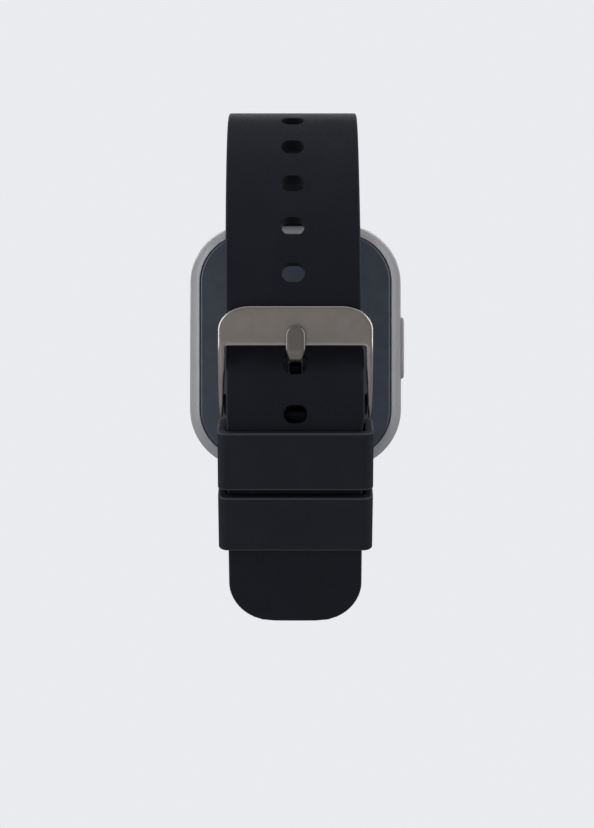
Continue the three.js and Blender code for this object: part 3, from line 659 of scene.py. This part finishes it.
def buckle_frame():
    """A flat crossbar with two arms that lean back to the bar, all in one strip along the side of an arm."""
    lean = math.radians(ARM_LEAN)
    side = Route(BAR.y, BAR.z, 90 + ARM_LEAN)
    bend_y = ARM_BEND * (1 - math.cos(lean))
    side.line((BAR.y - CROSSBAR_MIDDLE - bend_y) / math.sin(lean)).arc(ARM_BEND, -ARM_LEAN, 4)
    taper = side.end()[3]
    from_z = side.end()[1]
    side.line(BUCKLE["top"] - from_z)
    top = side.end()[3]
    opening_top = taper + BUCKLE["bottom"] - from_z
    near = (0, 0.04, 0.11, 0.22, 0.34)
    outer, inner = BUCKLE["half_width"], BUCKLE["opening"]
    before = (-0.45, -0.3, -0.15)
    columns = [outer - d for d in near] + [inner + d for d in (*near, *before)]
    columns += spread(0, inner - 0.9, 0.8)
    rows = cap_rows(ARM_FOOT["below_bar"]) + spread(0, opening_top - 0.9, 0.4)
    rows += [opening_top + d for d in (*before, *near, 0.6)]
    rows += spread(opening_top + 1, top - 0.8, 0.4)
    rows += [top - d for d in (*near, 0.55)]
    strip = Strip(mirrored(columns), rows)

    def edge_of(x, s):
        to_opening = max(abs(x) - inner, s - opening_top)
        return max(0, min(outer - abs(x), top - s, to_opening))

    strip.fill(lambda x, s: abs(x) > inner or s > opening_top, edge_of)
    fillet = BUCKLE_FILLET
    foot = -ARM_FOOT["below_bar"]
    for index, (x, s) in enumerate(strip.points):
        p, q = abs(x) - inner, s - opening_top
        reach = max(p, q)
        if reach < 1 and min(p, q) > -fillet:
            leg = min(p, q)
            angle = math.radians(45 * (leg + fillet) / (reach + fillet))
            if p < q:
                angle = math.pi / 2 - angle
            away = fillet + reach
            new_p, new_q = away * math.cos(angle) - fillet, away * math.sin(angle) - fillet
            p, q = new_p + (p - new_p) * reach, new_q + (q - new_q) * reach
            strip.points[index] = (math.copysign(inner + p, x), opening_top + q)
    strip.round_corners(outer, top, BUCKLE_CORNER)
    for index, (x, s) in enumerate(strip.points):
        share = max(0, (opening_top - 0.5 - s) / (opening_top - 0.5 - foot))
        low = inner + (ARM_FOOT["inner"] - inner) * share**1.6
        high = outer + (ARM_FOOT["outer"] - outer) * share**4
        if share > 0:
            x = math.copysign(low + (abs(x) - inner) * (high - low) / (outer - inner), x)
        strip.points[index] = (x, s)

    def half(x, s):
        share = clamp(s / taper)
        thick = ARM_END_RADIUS + (BUCKLE_HALF_THICKNESS - ARM_END_RADIUS) * share
        return thick * round_end(ARM_FOOT["below_bar"], -s)

    made = strip.solid("buckle_frame_metal", side, half, BUCKLE_ROUND)
    return cut(made, bore(BAR, BAR_BORE, FRAME_BORE_HALF))


def buckle_tongue():
    """A flat tongue with a round eye, which narrows to a neck where it leaves the bar."""
    lean, bend = TONGUE["lean"], TONGUE["bend"]
    route = Route(BAR.y, BAR.z, 90)
    sidestep = bend * (1 - math.cos(math.radians(lean)))
    slope = (BAR.y - TONGUE["face"] - 2 * sidestep) / math.sin(math.radians(lean))
    route.line(TONGUE["rise"]).arc(bend, lean, 16).line(slope).arc(bend, -lean, 16)
    route.line(TONGUE["tip"] - route.end()[1])
    top = route.end()[3]
    wide = TONGUE["half_width"]
    near = (0, 0.04, 0.12, 0.24, 0.36)
    eye = TONGUE["eye"]
    rows = cap_rows(eye) + spread(0, top - 0.7, 0.25) + [top - d for d in (*near, 0.5)]
    columns = mirrored([*[wide - d for d in near], 0.7, 0.35, 0])
    strip = Strip(columns, rows)
    strip.fill(lambda x, s: True, lambda x, s: min(wide - abs(x), top - s))
    strip.round_corners(wide, top, (wide, wide))
    for index, (x, s) in enumerate(strip.points):
        z = route.place(s)[1]
        necked = clamp((-0.5 - z) / 1.2)
        if s < eye:
            necked = max(0, (s - eye / 2) / (eye / 2))
        strip.points[index] = (x * (1 + (TONGUE["neck"] / wide - 1) * necked), s)

    def half(x, s):
        round_eye = math.sqrt(max(0, eye**2 - s**2))
        return round_eye if s < 0 else max(TONGUE["half_thickness"], round_eye)

    made = strip.solid("buckle_tongue_metal", route, half, TONGUE["round"])
    return cut(made, bore(BAR, BAR_BORE, 2 * wide))


def keeper(name, angle):
    """A loop of rubber round both straps, with rounded edges all round."""
    outside = WRAP["radius"] + KEEPER["front"]
    straps = LONG_THICKNESS + SHORT_GAP + SHORT_THICKNESS
    inside = WRAP["radius"] - straps - KEEPER["gap"] - KEEPER["back"]
    depth = outside - inside
    low = -depth / 2 + KEEPER["front"] - KEEPER["gap"]
    high = depth / 2 - KEEPER["back"]
    turn = Matrix.Rotation(math.radians(angle), 3, "X")
    to_middle = turn @ Vector((0, -(outside + inside) / 2, 0))
    centre = Vector((0, WRAP["y"], WRAP["z"])) + to_middle
    half = KEEPER["length"] / 2

    def loop(width, height, corner, shift, z):
        def place(a, b):
            return centre + turn @ Vector((a, b + shift, z))

        return rounded_loop(width, height, corner, place, 12, 6)

    def end_face(z):
        """A loop in the middle of the flat end of the rubber, away from both of its edges."""
        return loop(KEEPER["width"] - 1, depth - 1, KEEPER["corner"] - 0.5, 0, z)

    outer_edge = [(i, half - a) for i, a in quarter(KEEPER_ROUND, KEEPER_ROUND, 6)]
    inner_edge = [(i, half - a) for i, a in quarter(KEEPER_ROUND, KEEPER_ROUND, 4)]
    loops = []
    edge = []
    flat_side = [(0, 0.5 - half), (0, 0), (0, half - 0.5)]
    for inset, z in [(i, -z) for i, z in reversed(outer_edge)] + flat_side + outer_edge:
        size = (KEEPER["width"] - 2 * inset, depth - 2 * inset)
        loops.append(loop(*size, KEEPER["corner"] - inset, 0, z))
        edge.append(0 if abs(z) > half - KEEPER_ROUND - 1e-6 else 1)
    loops.append(end_face(half))
    hole_width, hole_height = KEEPER["width"] - 2 * KEEPER["side"], high - low
    for outset, z in list(reversed(inner_edge)) + [(i, -z) for i, z in inner_edge]:
        size = (hole_width + 2 * outset, hole_height + 2 * outset)
        loops.append(loop(*size, 0.5 + outset, (low + high) / 2, z))
    loops.append(end_face(-half))
    edge += [1] * (len(loops) - len(edge))
    return loft(name, loops, ring=True, edge=edge)


# ---- Bar springs ----


def bar_spring(name, lug, side):
    """Half of a spring bar's spring, from the middle of the bar out to the pin on that side."""
    turns, sides = SPRING["turns"] / 2, 8
    steps = round(turns * 20)
    outwards = Vector((side, 0, 0))
    loops = []
    for i in range(steps + 1):
        angle = side * 2 * math.pi * turns * i / steps
        out = Vector((0, math.cos(angle), math.sin(angle)))
        along = outwards * SPRING["half_length"] * i / steps
        centre = Vector((0, lug.y, lug.z)) + along + out * SPRING["radius"]
        ways = [2 * math.pi * k / sides for k in range(sides)]
        loops.append([centre + SPRING["wire"] * (out * math.cos(w) + outwards * math.sin(w)) for w in ways])
    return loft(name, loops)


# ---- Case ----


def case_loop(inset, y):
    """The case's outline at one Y, moved inwards."""
    width, height = CASE["width"] - 2 * inset, CASE["height"] - 2 * inset
    return rounded_loop(width, height, CASE["corner"] - inset, lambda a, b: Vector((a, y, b)))


def slot_cutter(lug):
    """The slot in an end face of the case that a strap swings in."""
    way = 1 if lug.z > 0 else -1
    low, high = SLOT_HEADINGS
    points = []
    for i in range(25):
        angle = math.radians(high + 90 + (low - high + 180) * i / 24)
        points.append((SLOT_ROUND * math.cos(angle), SLOT_ROUND * math.sin(angle)))
    for heading, (y, z) in ((low, points[-1]), (high, points[0])):
        angle = math.radians(heading)
        points.append((y + SLOT_LENGTH * math.cos(angle), z + SLOT_LENGTH * math.sin(angle)))
    outline = [(lug.y + y, lug.z + way * z) for y, z in points]
    return prism("slot", outline, -SLOT_HALF_WIDTH, SLOT_HALF_WIDTH)


def mid_case():
    """The shell of the case, open at the back and front, with its slots, button pocket and sound hole."""
    back, front, lip = CASE["back"], CASE["front"], RECESS["lip"]
    sliver = 0.08
    profile = [(RECESS["inset"], RECESS["floor"])]
    profile += [(RECESS["inset"] - i, back + 0.01 + a) for i, a in quarter(lip, lip, 4)]
    full = [(i, back + a) for i, a in quarter(*BACK_ROUND, 20)]
    profile += [(i, y) for i, y in reversed(full) if i < RECESS["inset"] - lip]
    profile += [(0, y) for y in CASE_WAIST]
    front_round = [(i, front - a) for i, a in quarter(*FRONT_ROUND, 8)]
    seat = GLASS_SEAT["inset"]
    profile += [(i, y) for i, y in front_round if i < seat - sliver]
    profile += [(seat - 0.05, front - 0.02), (seat, front - 0.07), (seat, GLASS_SEAT["floor"])]
    loops = [case_loop(*p) for p in profile]
    for y in (GLASS_SEAT["floor"], RECESS["floor"]):
        loops.append(rounded_loop(*CAVITY, lambda a, b, y=y: Vector((a, y, b))))
    shell = loft("mid_case_shell", loops, ring=True)
    cutters = [slot_cutter(UPPER_LUG), slot_cutter(LOWER_LUG), button_pocket()]
    for radius, low in BUTTON_BORES:
        cutters.append(prism("bore", circle(BUTTON.y, BUTTON.z, radius), low, CASE["width"] / 2 - 0.5))
    sound = circle(SOUND_HOLE["y"], SOUND_HOLE["z"], SOUND_HOLE["radius"])
    cutters.append(prism("sound", sound, SOUND_HOLE["from"], SOUND_HOLE["to"]))
    return cut(shell, *cutters)


def button_pocket():
    """The cutter for the pocket that the button sits in."""
    size = (BUTTON_POCKET["height"], BUTTON_POCKET["length"], BUTTON_POCKET["corner"])
    floor = BUTTON_POCKET["floor"]
    inside = rounded_loop(*size, lambda a, b: Vector((floor, BUTTON.y + a, BUTTON.z + b)), 12, 2)
    outside = [p + Vector((4, 0, 0)) for p in inside]
    return loft("pocket", [inside, outside])


def back_cover():
    """A shallow plate with a rounded edge and holes for the sensor window and the contacts."""
    inset, back, front, edge = COVER["inset"], COVER["back"], COVER["front"], COVER["round"]
    profile = [(inset + 0.1, front), (inset, front - 0.1)]
    profile += [(inset + i, back + a) for i, a in quarter(edge, edge, 6)]
    profile.append((inset + edge + 0.15, back))
    cover = loft("back_cover_shell", [case_loop(*p) for p in profile])
    window_hole = WINDOW["radius"] + WINDOW["gap"]
    cutters = [lathe("hole", [(window_hole, 0), (window_hole, front + 1)], (0, 0, 0))]
    for side in ("left", "right"):
        place = middle(f"charge_contact_{side}")
        hole = [(CONTACT["hole"], 0), (CONTACT["hole"], front + 1)]
        cutters.append(lathe("hole", hole, (place.x, 0, place.z), sides=32))
    return cut(cover, *cutters)


def display_glass():
    """A plate of glass with a wide rounding towards its face."""
    inset, back, front = GLASS["inset"], GLASS["back"], GLASS["front"]
    profile = [(inset + 0.05, back), (inset, back + 0.05), (inset, GLASS["edge"])]
    profile += [(inset + i, front - a) for i, a in quarter(*GLASS["round"], 12)[1:]]
    profile.append((inset + 1.6, front))
    return loft("display_glass_lens", [case_loop(*p) for p in profile])


def sensor_window():
    """A round window whose face is where the watch rests on the wrist."""
    radius, edge = WINDOW["radius"], WINDOW["round"]
    profile = [(radius - 0.4, WINDOW["front"]), (radius, WINDOW["front"])]
    profile += [(radius - i, a) for i, a in quarter(edge, edge, 6)]
    profile.append((radius - edge - 0.15, 0))
    return lathe("sensor_window_lens", profile, (0, 0, 0), sides=96)


def charge_contact(side):
    """A round pad that stands a little out of the cover."""
    place = middle(f"charge_contact_{side}")
    radius, back, edge = CONTACT["radius"], CONTACT["back"], CONTACT["round"]
    profile = [(radius, CONTACT["front"])]
    profile += [(radius - i, back + a) for i, a in quarter(edge, edge, 4)]
    profile.append((radius - 0.3, back))
    return lathe(f"charge_contact_{side}_pad", profile, (place.x, 0, place.z), sides=40)


def button_cap():
    """A pill-shaped cap with a rounded face."""
    height, length, corner = BUTTON_CAP["height"], BUTTON_CAP["length"], BUTTON_CAP["corner"]
    inner, outer = BUTTON_CAP["inner"], BUTTON_CAP["outer"]
    profile = [(0, inner)]
    profile += [(i, outer - a) for i, a in quarter(*BUTTON_CAP["round"], 6)]
    profile.append((0.6, outer))
    loops = []
    for inset, x in profile:
        size = (height - 2 * inset, length - 2 * inset, corner - inset)
        loops.append(rounded_loop(*size, lambda a, b, x=x: Vector((x, BUTTON.y + a, BUTTON.z + b)), 14, 3))
    return loft("button_cap_skin", loops)


# ---- Materials: colours are linear, sizes in millimetres ----

# Painted shade: the near-black colour given to the walls of the strap's holes.
HOLE_SHADE = (0.003, 0.003, 0.004)
# Painted shade: the near-black colour the tongue turns to where it runs down into the strap's hole.
SHADE_BLACK = (0.012, 0.012, 0.013)
CASE_GREYS = ((0.37, 0.375, 0.40), (0.41, 0.413, 0.435))
SCUFF_GREY = (0.52, 0.52, 0.53)


def nodes_of(name):
    """A new material with its node tree and its shader."""
    made = bpy.data.materials.new(name)
    made.use_nodes = True
    tree = made.node_tree
    return made, tree, tree.nodes["Principled BSDF"]


def fill_in(node, inputs):
    """Sets a node's inputs by name: the output of another node is linked, anything else is a value."""
    for name, value in inputs.items():
        if isinstance(value, bpy.types.NodeSocket):
            node.id_data.links.new(value, node.inputs[name])
        else:
            node.inputs[name].default_value = value


def new_node(tree, kind, output, inputs=None):
    """Adds a node to the tree and returns one of its outputs."""
    made = tree.nodes.new("ShaderNode" + kind)
    fill_in(made, inputs or {})
    return made.outputs[output]


def noise(tree, size_mm, detail, stretch=(1, 1, 1)):
    """Noise with features of about the given size; stretch draws it out along an axis."""
    place = new_node(tree, "TexCoord", "Object")
    drawn_out = new_node(tree, "Mapping", "Vector", {"Vector": place, "Scale": [1 / s for s in stretch]})
    inputs = {"Vector": drawn_out, "Scale": 1 / (size_mm * MM), "Detail": detail}
    return new_node(tree, "TexNoise", "Fac", inputs)


def ramp(tree, value, low, high, start, end):
    """Maps value from low..high to start..end."""
    inputs = {"Value": value, "From Min": low, "From Max": high, "To Min": start, "To Max": end}
    return new_node(tree, "MapRange", "Result", inputs)


def blend_colours(tree, factor, a, b):
    """Goes from a to b, each a colour or the output of a node, as factor goes from 0 to 1."""
    made = tree.nodes.new("ShaderNodeMix")
    made.data_type = "RGBA"
    for key, value in (("A", a), ("B", b)):
        socket = next(s for s in made.inputs if s.name == key and s.type == "RGBA")
        if isinstance(value, bpy.types.NodeSocket):
            tree.links.new(value, socket)
        else:
            socket.default_value = (*value, 1)
    tree.links.new(factor, made.inputs["Factor"])
    return next(s for s in made.outputs if s.type == "RGBA")


def mottled(tree, cloud, a, b, low=0.3, high=0.7):
    """Wanders between two colours with a noise."""
    return blend_colours(tree, ramp(tree, cloud, low, high, 0, 1), a, b)


def bump(tree, shader, *layers):
    """Stacks bump layers of (height, strength, depth in millimetres)."""
    below = {}
    for height, strength, depth in layers:
        inputs = {"Height": height, "Strength": strength, "Distance": depth * MM, **below}
        below = {"Normal": new_node(tree, "Bump", "Normal", inputs)}
    fill_in(shader, below)


def point_value(tree, name):
    """Reads one of the values that a mesh keeps for each of its points."""
    made = tree.nodes.new("ShaderNodeAttribute")
    made.attribute_name = name
    return made.outputs["Fac"]


def surface(name, colour, other, roughness, grain, metallic=0.0, depth=0.01):
    """A surface whose colour and roughness wander between two values, with a fine grain."""
    made, tree, shader = nodes_of(name)
    cloud = noise(tree, grain * 12, 4)
    fine = noise(tree, grain, 2)
    look = {
        "Base Color": mottled(tree, cloud, colour, other, 0.35, 0.65),
        "Roughness": ramp(tree, fine, 0.3, 0.7, *roughness),
        "Metallic": metallic,
    }
    fill_in(shader, look)
    bump(tree, shader, (fine, 0.5, depth))
    return made


def silicone_material(name, dark, light, edge_highlight, reach, shade_holes=False):
    """Matt silicone rubber: blue-black, with a fine moulded grain, a painted highlight that makes its edges
    lighter within reach, and painted shade that makes the walls of its holes dark."""
    made, tree, shader = nodes_of(name)
    cloud = noise(tree, 6, 4)
    fine = noise(tree, 0.28, 3)
    skin = mottled(tree, cloud, dark, light, 0.35, 0.65)
    # Painted highlight: near the outer edges the colour is lifted towards a lighter grey.
    edge_highlight_mask = ramp(tree, point_value(tree, "edge"), reach / 3, reach, 0.85, 0)
    outside = blend_colours(tree, edge_highlight_mask, skin, edge_highlight)
    # Painted shade: the walls of the holes are made near black.
    if shade_holes:
        hole_shade_mask = ramp(tree, point_value(tree, "hole"), 0.04, 0.2, 1, 0)
        outside = blend_colours(tree, hole_shade_mask, outside, HOLE_SHADE)
    look = {
        "Base Color": outside,
        "Roughness": ramp(tree, fine, 0.3, 0.7, 0.56, 0.72),
        "Specular IOR Level": 0.3,
        "Specular Tint": (0.85, 0.88, 1, 1),
    }
    fill_in(shader, look)
    bump(tree, shader, (cloud, 0.25, 0.12), (fine, 0.5, 0.016))
    return made


def case_material():
    """Satin moulded grey with a slight glow inside it, faint scuffs and a clear coat."""
    made, tree, shader = nodes_of("case_plastic")
    cloud = noise(tree, 7, 4)
    fine = noise(tree, 0.22, 2)
    scuffs = noise(tree, 1.1, 6, (1, 1, 3))
    body = mottled(tree, cloud, *CASE_GREYS)
    look = {
        "Base Color": blend_colours(tree, ramp(tree, scuffs, 0.66, 0.74, 0, 0.35), body, SCUFF_GREY),
        "Roughness": ramp(tree, fine, 0.3, 0.7, 0.36, 0.48),
        "Subsurface Weight": 0.25,
        "Subsurface Radius": (0.0012, 0.0012, 0.0013),
        "Subsurface Scale": 1.0,
        "Coat Weight": 0.25,
        "Coat Roughness": 0.22,
    }
    fill_in(shader, look)
    bump(tree, shader, (fine, 0.35, 0.006))
    return made


def brushed(name, colour, other, roughness, stretch):
    """Satin metal with fine lines drawn out along one axis."""
    made, tree, shader = nodes_of(name)
    lines = noise(tree, 0.09, 3, stretch)
    cloud = noise(tree, 3, 3)
    shine = ramp(tree, lines, 0.3, 0.7, *roughness)
    fill_in(shader, {"Base Color": mottled(tree, cloud, colour, other), "Roughness": shine, "Metallic": 1})
    bump(tree, shader, (lines, 0.4, 0.004))
    return made


def buckle_material(name, dark, light, edge_line_painted_light, edge_roughness, shade_below=None):
    """Gunmetal: brushed faces and a polished line on the rounded edges. The line's roughness is the real
    polish;
    its own colour is painted light: lighter than the faces on the frame as a painted highlight, darker on
    the tongue as painted shade. Below the height given as the last argument, in millimetres, the colour
    turns near
    black: painted shade."""
    made, tree, shader = nodes_of(name)
    lines = noise(tree, 0.08, 3, (14, 1, 1))
    cloud = noise(tree, 3, 3)
    face = mottled(tree, cloud, dark, light)
    polish_and_edge_light = ramp(tree, point_value(tree, "edge"), 0.1, 0.3, 1, 0)
    # Painted shade: below the given height the colour turns near black.
    if shade_below is not None:
        height = new_node(tree, "SeparateXYZ", "Z", {"Vector": new_node(tree, "TexCoord", "Object")})
        unshaded = ramp(tree, height, (shade_below - 0.5) * MM, shade_below * MM, 0, 1)
        face = blend_colours(tree, unshaded, SHADE_BLACK, face)
        unshaded_polish_and_edge_light = tree.nodes.new("ShaderNodeMath")
        unshaded_polish_and_edge_light.operation = "MULTIPLY"
        tree.links.new(polish_and_edge_light, unshaded_polish_and_edge_light.inputs[0])
        tree.links.new(unshaded, unshaded_polish_and_edge_light.inputs[1])
        polish_and_edge_light = unshaded_polish_and_edge_light.outputs["Value"]
    satin = ramp(tree, lines, 0.3, 0.7, 0.38, 0.5)
    shine = new_node(tree, "Mix", "Result", {"Factor": polish_and_edge_light, "A": satin, "B": edge_roughness})
    # The edge line's own colour is painted light; the roughness above is the real polish.
    metal = blend_colours(tree, polish_and_edge_light, face, edge_line_painted_light)
    fill_in(shader, {"Base Color": metal, "Roughness": shine, "Metallic": 1})
    bump(tree, shader, (lines, 0.3, 0.004))
    return made


def gloss(name, colour, other, roughness):
    """Dark glass with faint smears."""
    made, tree, shader = nodes_of(name)
    cloud = noise(tree, 9, 3)
    smear = noise(tree, 2.2, 5, (1, 1, 4))
    shine = ramp(tree, smear, 0.35, 0.7, *roughness)
    fill_in(shader, {"Base Color": mottled(tree, cloud, colour, other), "Roughness": shine})
    bump(tree, shader, (cloud, 0.1, 0.01))
    return made


def wear(made, look):
    """Gives a mesh its one material."""
    made.data.materials.clear()
    made.data.materials.append(look)


def dress(made, look, slot, body, node):
    """Gives a new piece its material and body, and lets it stand for its CAD node. slot is not used."""
    wear(made, look)
    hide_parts(node)
    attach(made, body)


silicone = silicone_material(
    "silicone",
    dark=(0.0055, 0.0060, 0.0102),
    light=(0.0073, 0.0079, 0.0129),
    # A painted highlight along the strap's edges.
    edge_highlight=(0.03, 0.031, 0.037),
    reach=0.26,
    # Painted shade on the walls of the strap's holes.
    shade_holes=True,
)
# The keepers' silicone is a lighter copy of the strap's: painted light for keepers whose faces tilt
# downwards.
keeper_silicone = silicone_material(
    "keeper_silicone",
    dark=(0.0105, 0.0112, 0.0160),
    light=(0.0130, 0.0138, 0.0190),
    # A painted highlight along the keepers' edges.
    edge_highlight=(0.06, 0.061, 0.07),
    reach=0.18,
)
gunmetal = buckle_material(
    "gunmetal",
    dark=(0.37, 0.335, 0.305),
    light=(0.42, 0.38, 0.35),
    # The edge line is a real polished edge, and its colour, lighter than the faces, is a painted highlight.
    edge_line_painted_light=(0.52, 0.49, 0.46),
    edge_roughness=0.3,
)
# The tongue's gunmetal is a darker copy of the frame's, with its edge line darker than its face: painted
# shade.
tongue_shaded_gunmetal = buckle_material(
    "tongue_gunmetal",
    dark=(0.25, 0.235, 0.22),
    light=(0.235, 0.217, 0.203),
    edge_line_painted_light=(0.2, 0.19, 0.18),
    edge_roughness=0.42,
    # Painted shade on the tongue below a height of -2 mm, inside the strap's hole.
    shade_below=-2.0,
)
case_plastic = case_material()
steel = brushed("steel", (0.5, 0.51, 0.52), (0.6, 0.6, 0.61), (0.24, 0.36), (8, 1, 1))
gold = brushed("gold_plate", (0.72, 0.5, 0.2), (0.78, 0.57, 0.27), (0.2, 0.3), (1, 1, 4))
blackened = brushed("blackened_steel", (0.03, 0.03, 0.032), (0.05, 0.05, 0.052), (0.4, 0.55), (8, 1, 1))
tungsten = brushed("sintered_weight", (0.42, 0.36, 0.25), (0.5, 0.43, 0.31), (0.4, 0.55), (1, 1, 1))
slate = surface(
    "back_cover_slate", (0.050, 0.059, 0.080), (0.060, 0.070, 0.094), (0.3, 0.42), 0.2, depth=0.004
)
button_plastic = surface(
    "button_plastic", (0.42, 0.39, 0.41), (0.46, 0.43, 0.45), (0.28, 0.38), 0.25, depth=0.004
)
lens_black = gloss("display_lens", (0.003, 0.003, 0.0035), (0.005, 0.005, 0.006), (0.03, 0.07))
window_black = gloss("sensor_lens", (0.006, 0.006, 0.007), (0.010, 0.010, 0.012), (0.06, 0.12))
moulded = surface("moulded_black", (0.014, 0.014, 0.015), (0.022, 0.022, 0.023), (0.5, 0.65), 0.25)
board = surface("solder_mask", (0.012, 0.06, 0.03), (0.02, 0.085, 0.042), (0.3, 0.42), 0.4)
foil = surface(
    "battery_foil", (0.38, 0.4, 0.41), (0.46, 0.48, 0.49), (0.3, 0.45), 0.5, metallic=0.7, depth=0.02
)
rubber = surface("seal_rubber", (0.018, 0.018, 0.019), (0.026, 0.026, 0.027), (0.65, 0.8), 0.2)
lens_green = surface("led_lens", (0.55, 0.75, 0.42), (0.65, 0.85, 0.5), (0.12, 0.2), 0.3)

# The pieces that keep their CAD mesh, by what they are made of. The rest of them are steel.
CAD_LOOKS = (
    (rubber, ("display_gasket", "back_gasket", "button_seal")),
    (moulded, ("display_panel", "photodiode", "speaker", "side_switch", "inner_frame")),
    (board, ("sensor_board", "main_board")),
    (lens_green, ("sensor_led_left", "sensor_led_right")),
    (foil, ("battery",)),
    (gold, ("microphone",)),
    (tungsten, ("motor_rotor",)),
    (blackened, ("buckle_bar",)),
)

# ---- The pieces ----

replaced = {
    "mid_case": (mid_case, case_plastic, "case", "case"),
    "back_cover": (back_cover, slate, "back_cover", "case"),
    "display_glass": (display_glass, lens_black, "display_glass", "case"),
    "sensor_window": (sensor_window, window_black, "sensor_window", "case"),
    "charge_contact_left": (lambda: charge_contact("left"), gold, "contact", "case"),
    "charge_contact_right": (lambda: charge_contact("right"), gold, "contact", "case"),
    "button_cap": (button_cap, button_plastic, "button", "button"),
    "long_strap": (long_strap, silicone, "silicone", "long_strap"),
    "short_strap": (short_strap, silicone, "silicone", "short_strap"),
    "buckle_frame": (buckle_frame, gunmetal, "buckle", "buckle"),
    "buckle_tongue": (buckle_tongue, tongue_shaded_gunmetal, "buckle", "tongue"),
}
for keeper_name, place in KEEPER_AT.items():
    replaced[keeper_name] = (
        lambda name=keeper_name, angle=place: keeper(f"{name}_loop", angle),
        keeper_silicone,
        "silicone",
        keeper_name,
    )
for node, (make, look, slot, body) in replaced.items():
    dress(make(), look, slot, body, node)

# Each bar spring is made as two halves, one for each pin, each with a mesh of its own; in the real bar each
# half shortens as its own pin is pressed in.
sprung = set()
for end, lug, body in (("upper", UPPER_LUG, "long_strap"), ("lower", LOWER_LUG, "short_strap")):
    for way, side in (("left", -1), ("right", 1)):
        half_spring = bar_spring(f"{end}_spring_{way}_half", lug, side)
        dress(half_spring, steel, "steel", body, f"{end}_bar_spring")
        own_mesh(half_spring)
    sprung.add(f"{end}_bar_spring")

for node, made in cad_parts.items():
    if node not in replaced and node not in sprung:
        wear(made, next((look for look, nodes in CAD_LOOKS if node in nodes), steel))

# ---- Floor, light and camera ----

BACKDROP = (0.823, 0.831, 0.863)
WORLD_STRENGTH = 0.26
FLOOR_DROP = 0.05
STAGE_SIZE = 4
CAMERA = {"distance": 0.352, "lens": 88.565, "sensor": 36, "shift_x": 0.0018, "shift_y": -0.0821}

# Each softbox: place, aim, width, height and watts.
SOFTBOXES = {
    "bottom_softbox": ((0, -0.2, -0.8), (0, 0, -0.03), 0.8, 0.5, 0.6),
    "top_softbox": ((0, 0.05, 0.8), (0, -0.02, 0), 0.8, 0.8, 1.0),
    "left_softbox": ((-0.8, -0.28, 0.27), (0, -0.02, 0), 0.5, 0.9, 4.4),
    "right_softbox": ((0.8, -0.24, 0.27), (0, -0.02, 0), 0.5, 0.9, 3.8),
    "back_softbox": ((0, 0.9, 0.3), (0, 0, 0), 0.9, 0.6, 3),
    "front_fill": ((-0.2, -0.9, -0.35), (0, -0.03, 0), 0.5, 0.6, 0.7),
}


def paper():
    """Pale studio paper, lit to one even tone."""
    made, _, shader = nodes_of("studio_paper")
    fill_in(shader, {"Base Color": (0, 0, 0, 1), "Roughness": 1, "Specular IOR Level": 0})
    fill_in(shader, {"Emission Color": (*BACKDROP, 1), "Emission Strength": 1})
    return made


def stage():
    """A floor and a dome of the same paper. They are seen, but throw no light on the watch."""
    look = paper()
    z = cad_low.z - FLOOR_DROP
    far = STAGE_SIZE
    corners = [(-far, -far, z), (far, -far, z), (far, far, z), (-far, far, z)]
    floor_mesh = bpy.data.meshes.new("floor")
    floor_mesh.from_pydata(corners, [], [(0, 1, 2, 3)])
    dome_mesh = bpy.data.meshes.new("backdrop")
    work = bmesh.new()
    bmesh.ops.create_uvsphere(work, u_segments=48, v_segments=24, radius=far * 0.9)
    work.to_mesh(dome_mesh)
    work.free()
    for mesh in (floor_mesh, dome_mesh):
        mesh.materials.append(look)
        made = add_object(mesh.name, mesh)
        made.visible_diffuse = False
        made.visible_glossy = False
        made.visible_transmission = False
        made.visible_shadow = False


def softbox(name, place, aim, width, height, power):
    """A rectangular lamp that faces its aim."""
    light = bpy.data.lights.new(name, "AREA")
    light.shape = "RECTANGLE"
    light.size = width
    light.size_y = height
    light.energy = power
    made = add_object(name, light)
    made.location = place
    made.rotation_mode = "QUATERNION"
    made.rotation_quaternion = (Vector(aim) - Vector(place)).to_track_quat("-Z", "Y")


def soft_world():
    """The even light that comes from all round."""
    world = bpy.data.worlds.new("studio")
    world.use_nodes = True
    fill_in(world.node_tree.nodes["Background"], {"Color": (*BACKDROP, 1), "Strength": WORLD_STRENGTH})
    bpy.context.scene.world = world


def watch_camera():
    """A camera behind the buckle, level with the middle of the case."""
    camera = bpy.data.cameras.new("camera")
    camera.lens = CAMERA["lens"]
    camera.sensor_width = CAMERA["sensor"]
    camera.shift_x = CAMERA["shift_x"]
    camera.shift_y = CAMERA["shift_y"]
    camera.clip_start = 0.01
    eye = add_object("camera", camera)
    eye.location = (0, -CAMERA["distance"], 0)
    eye.rotation_euler = (math.pi / 2, 0, 0)
    bpy.context.scene.camera = eye


stage()
for name, settings in SOFTBOXES.items():
    softbox(name, *settings)
soft_world()
watch_camera()
bpy.context.scene.view_settings.view_transform = "Standard"
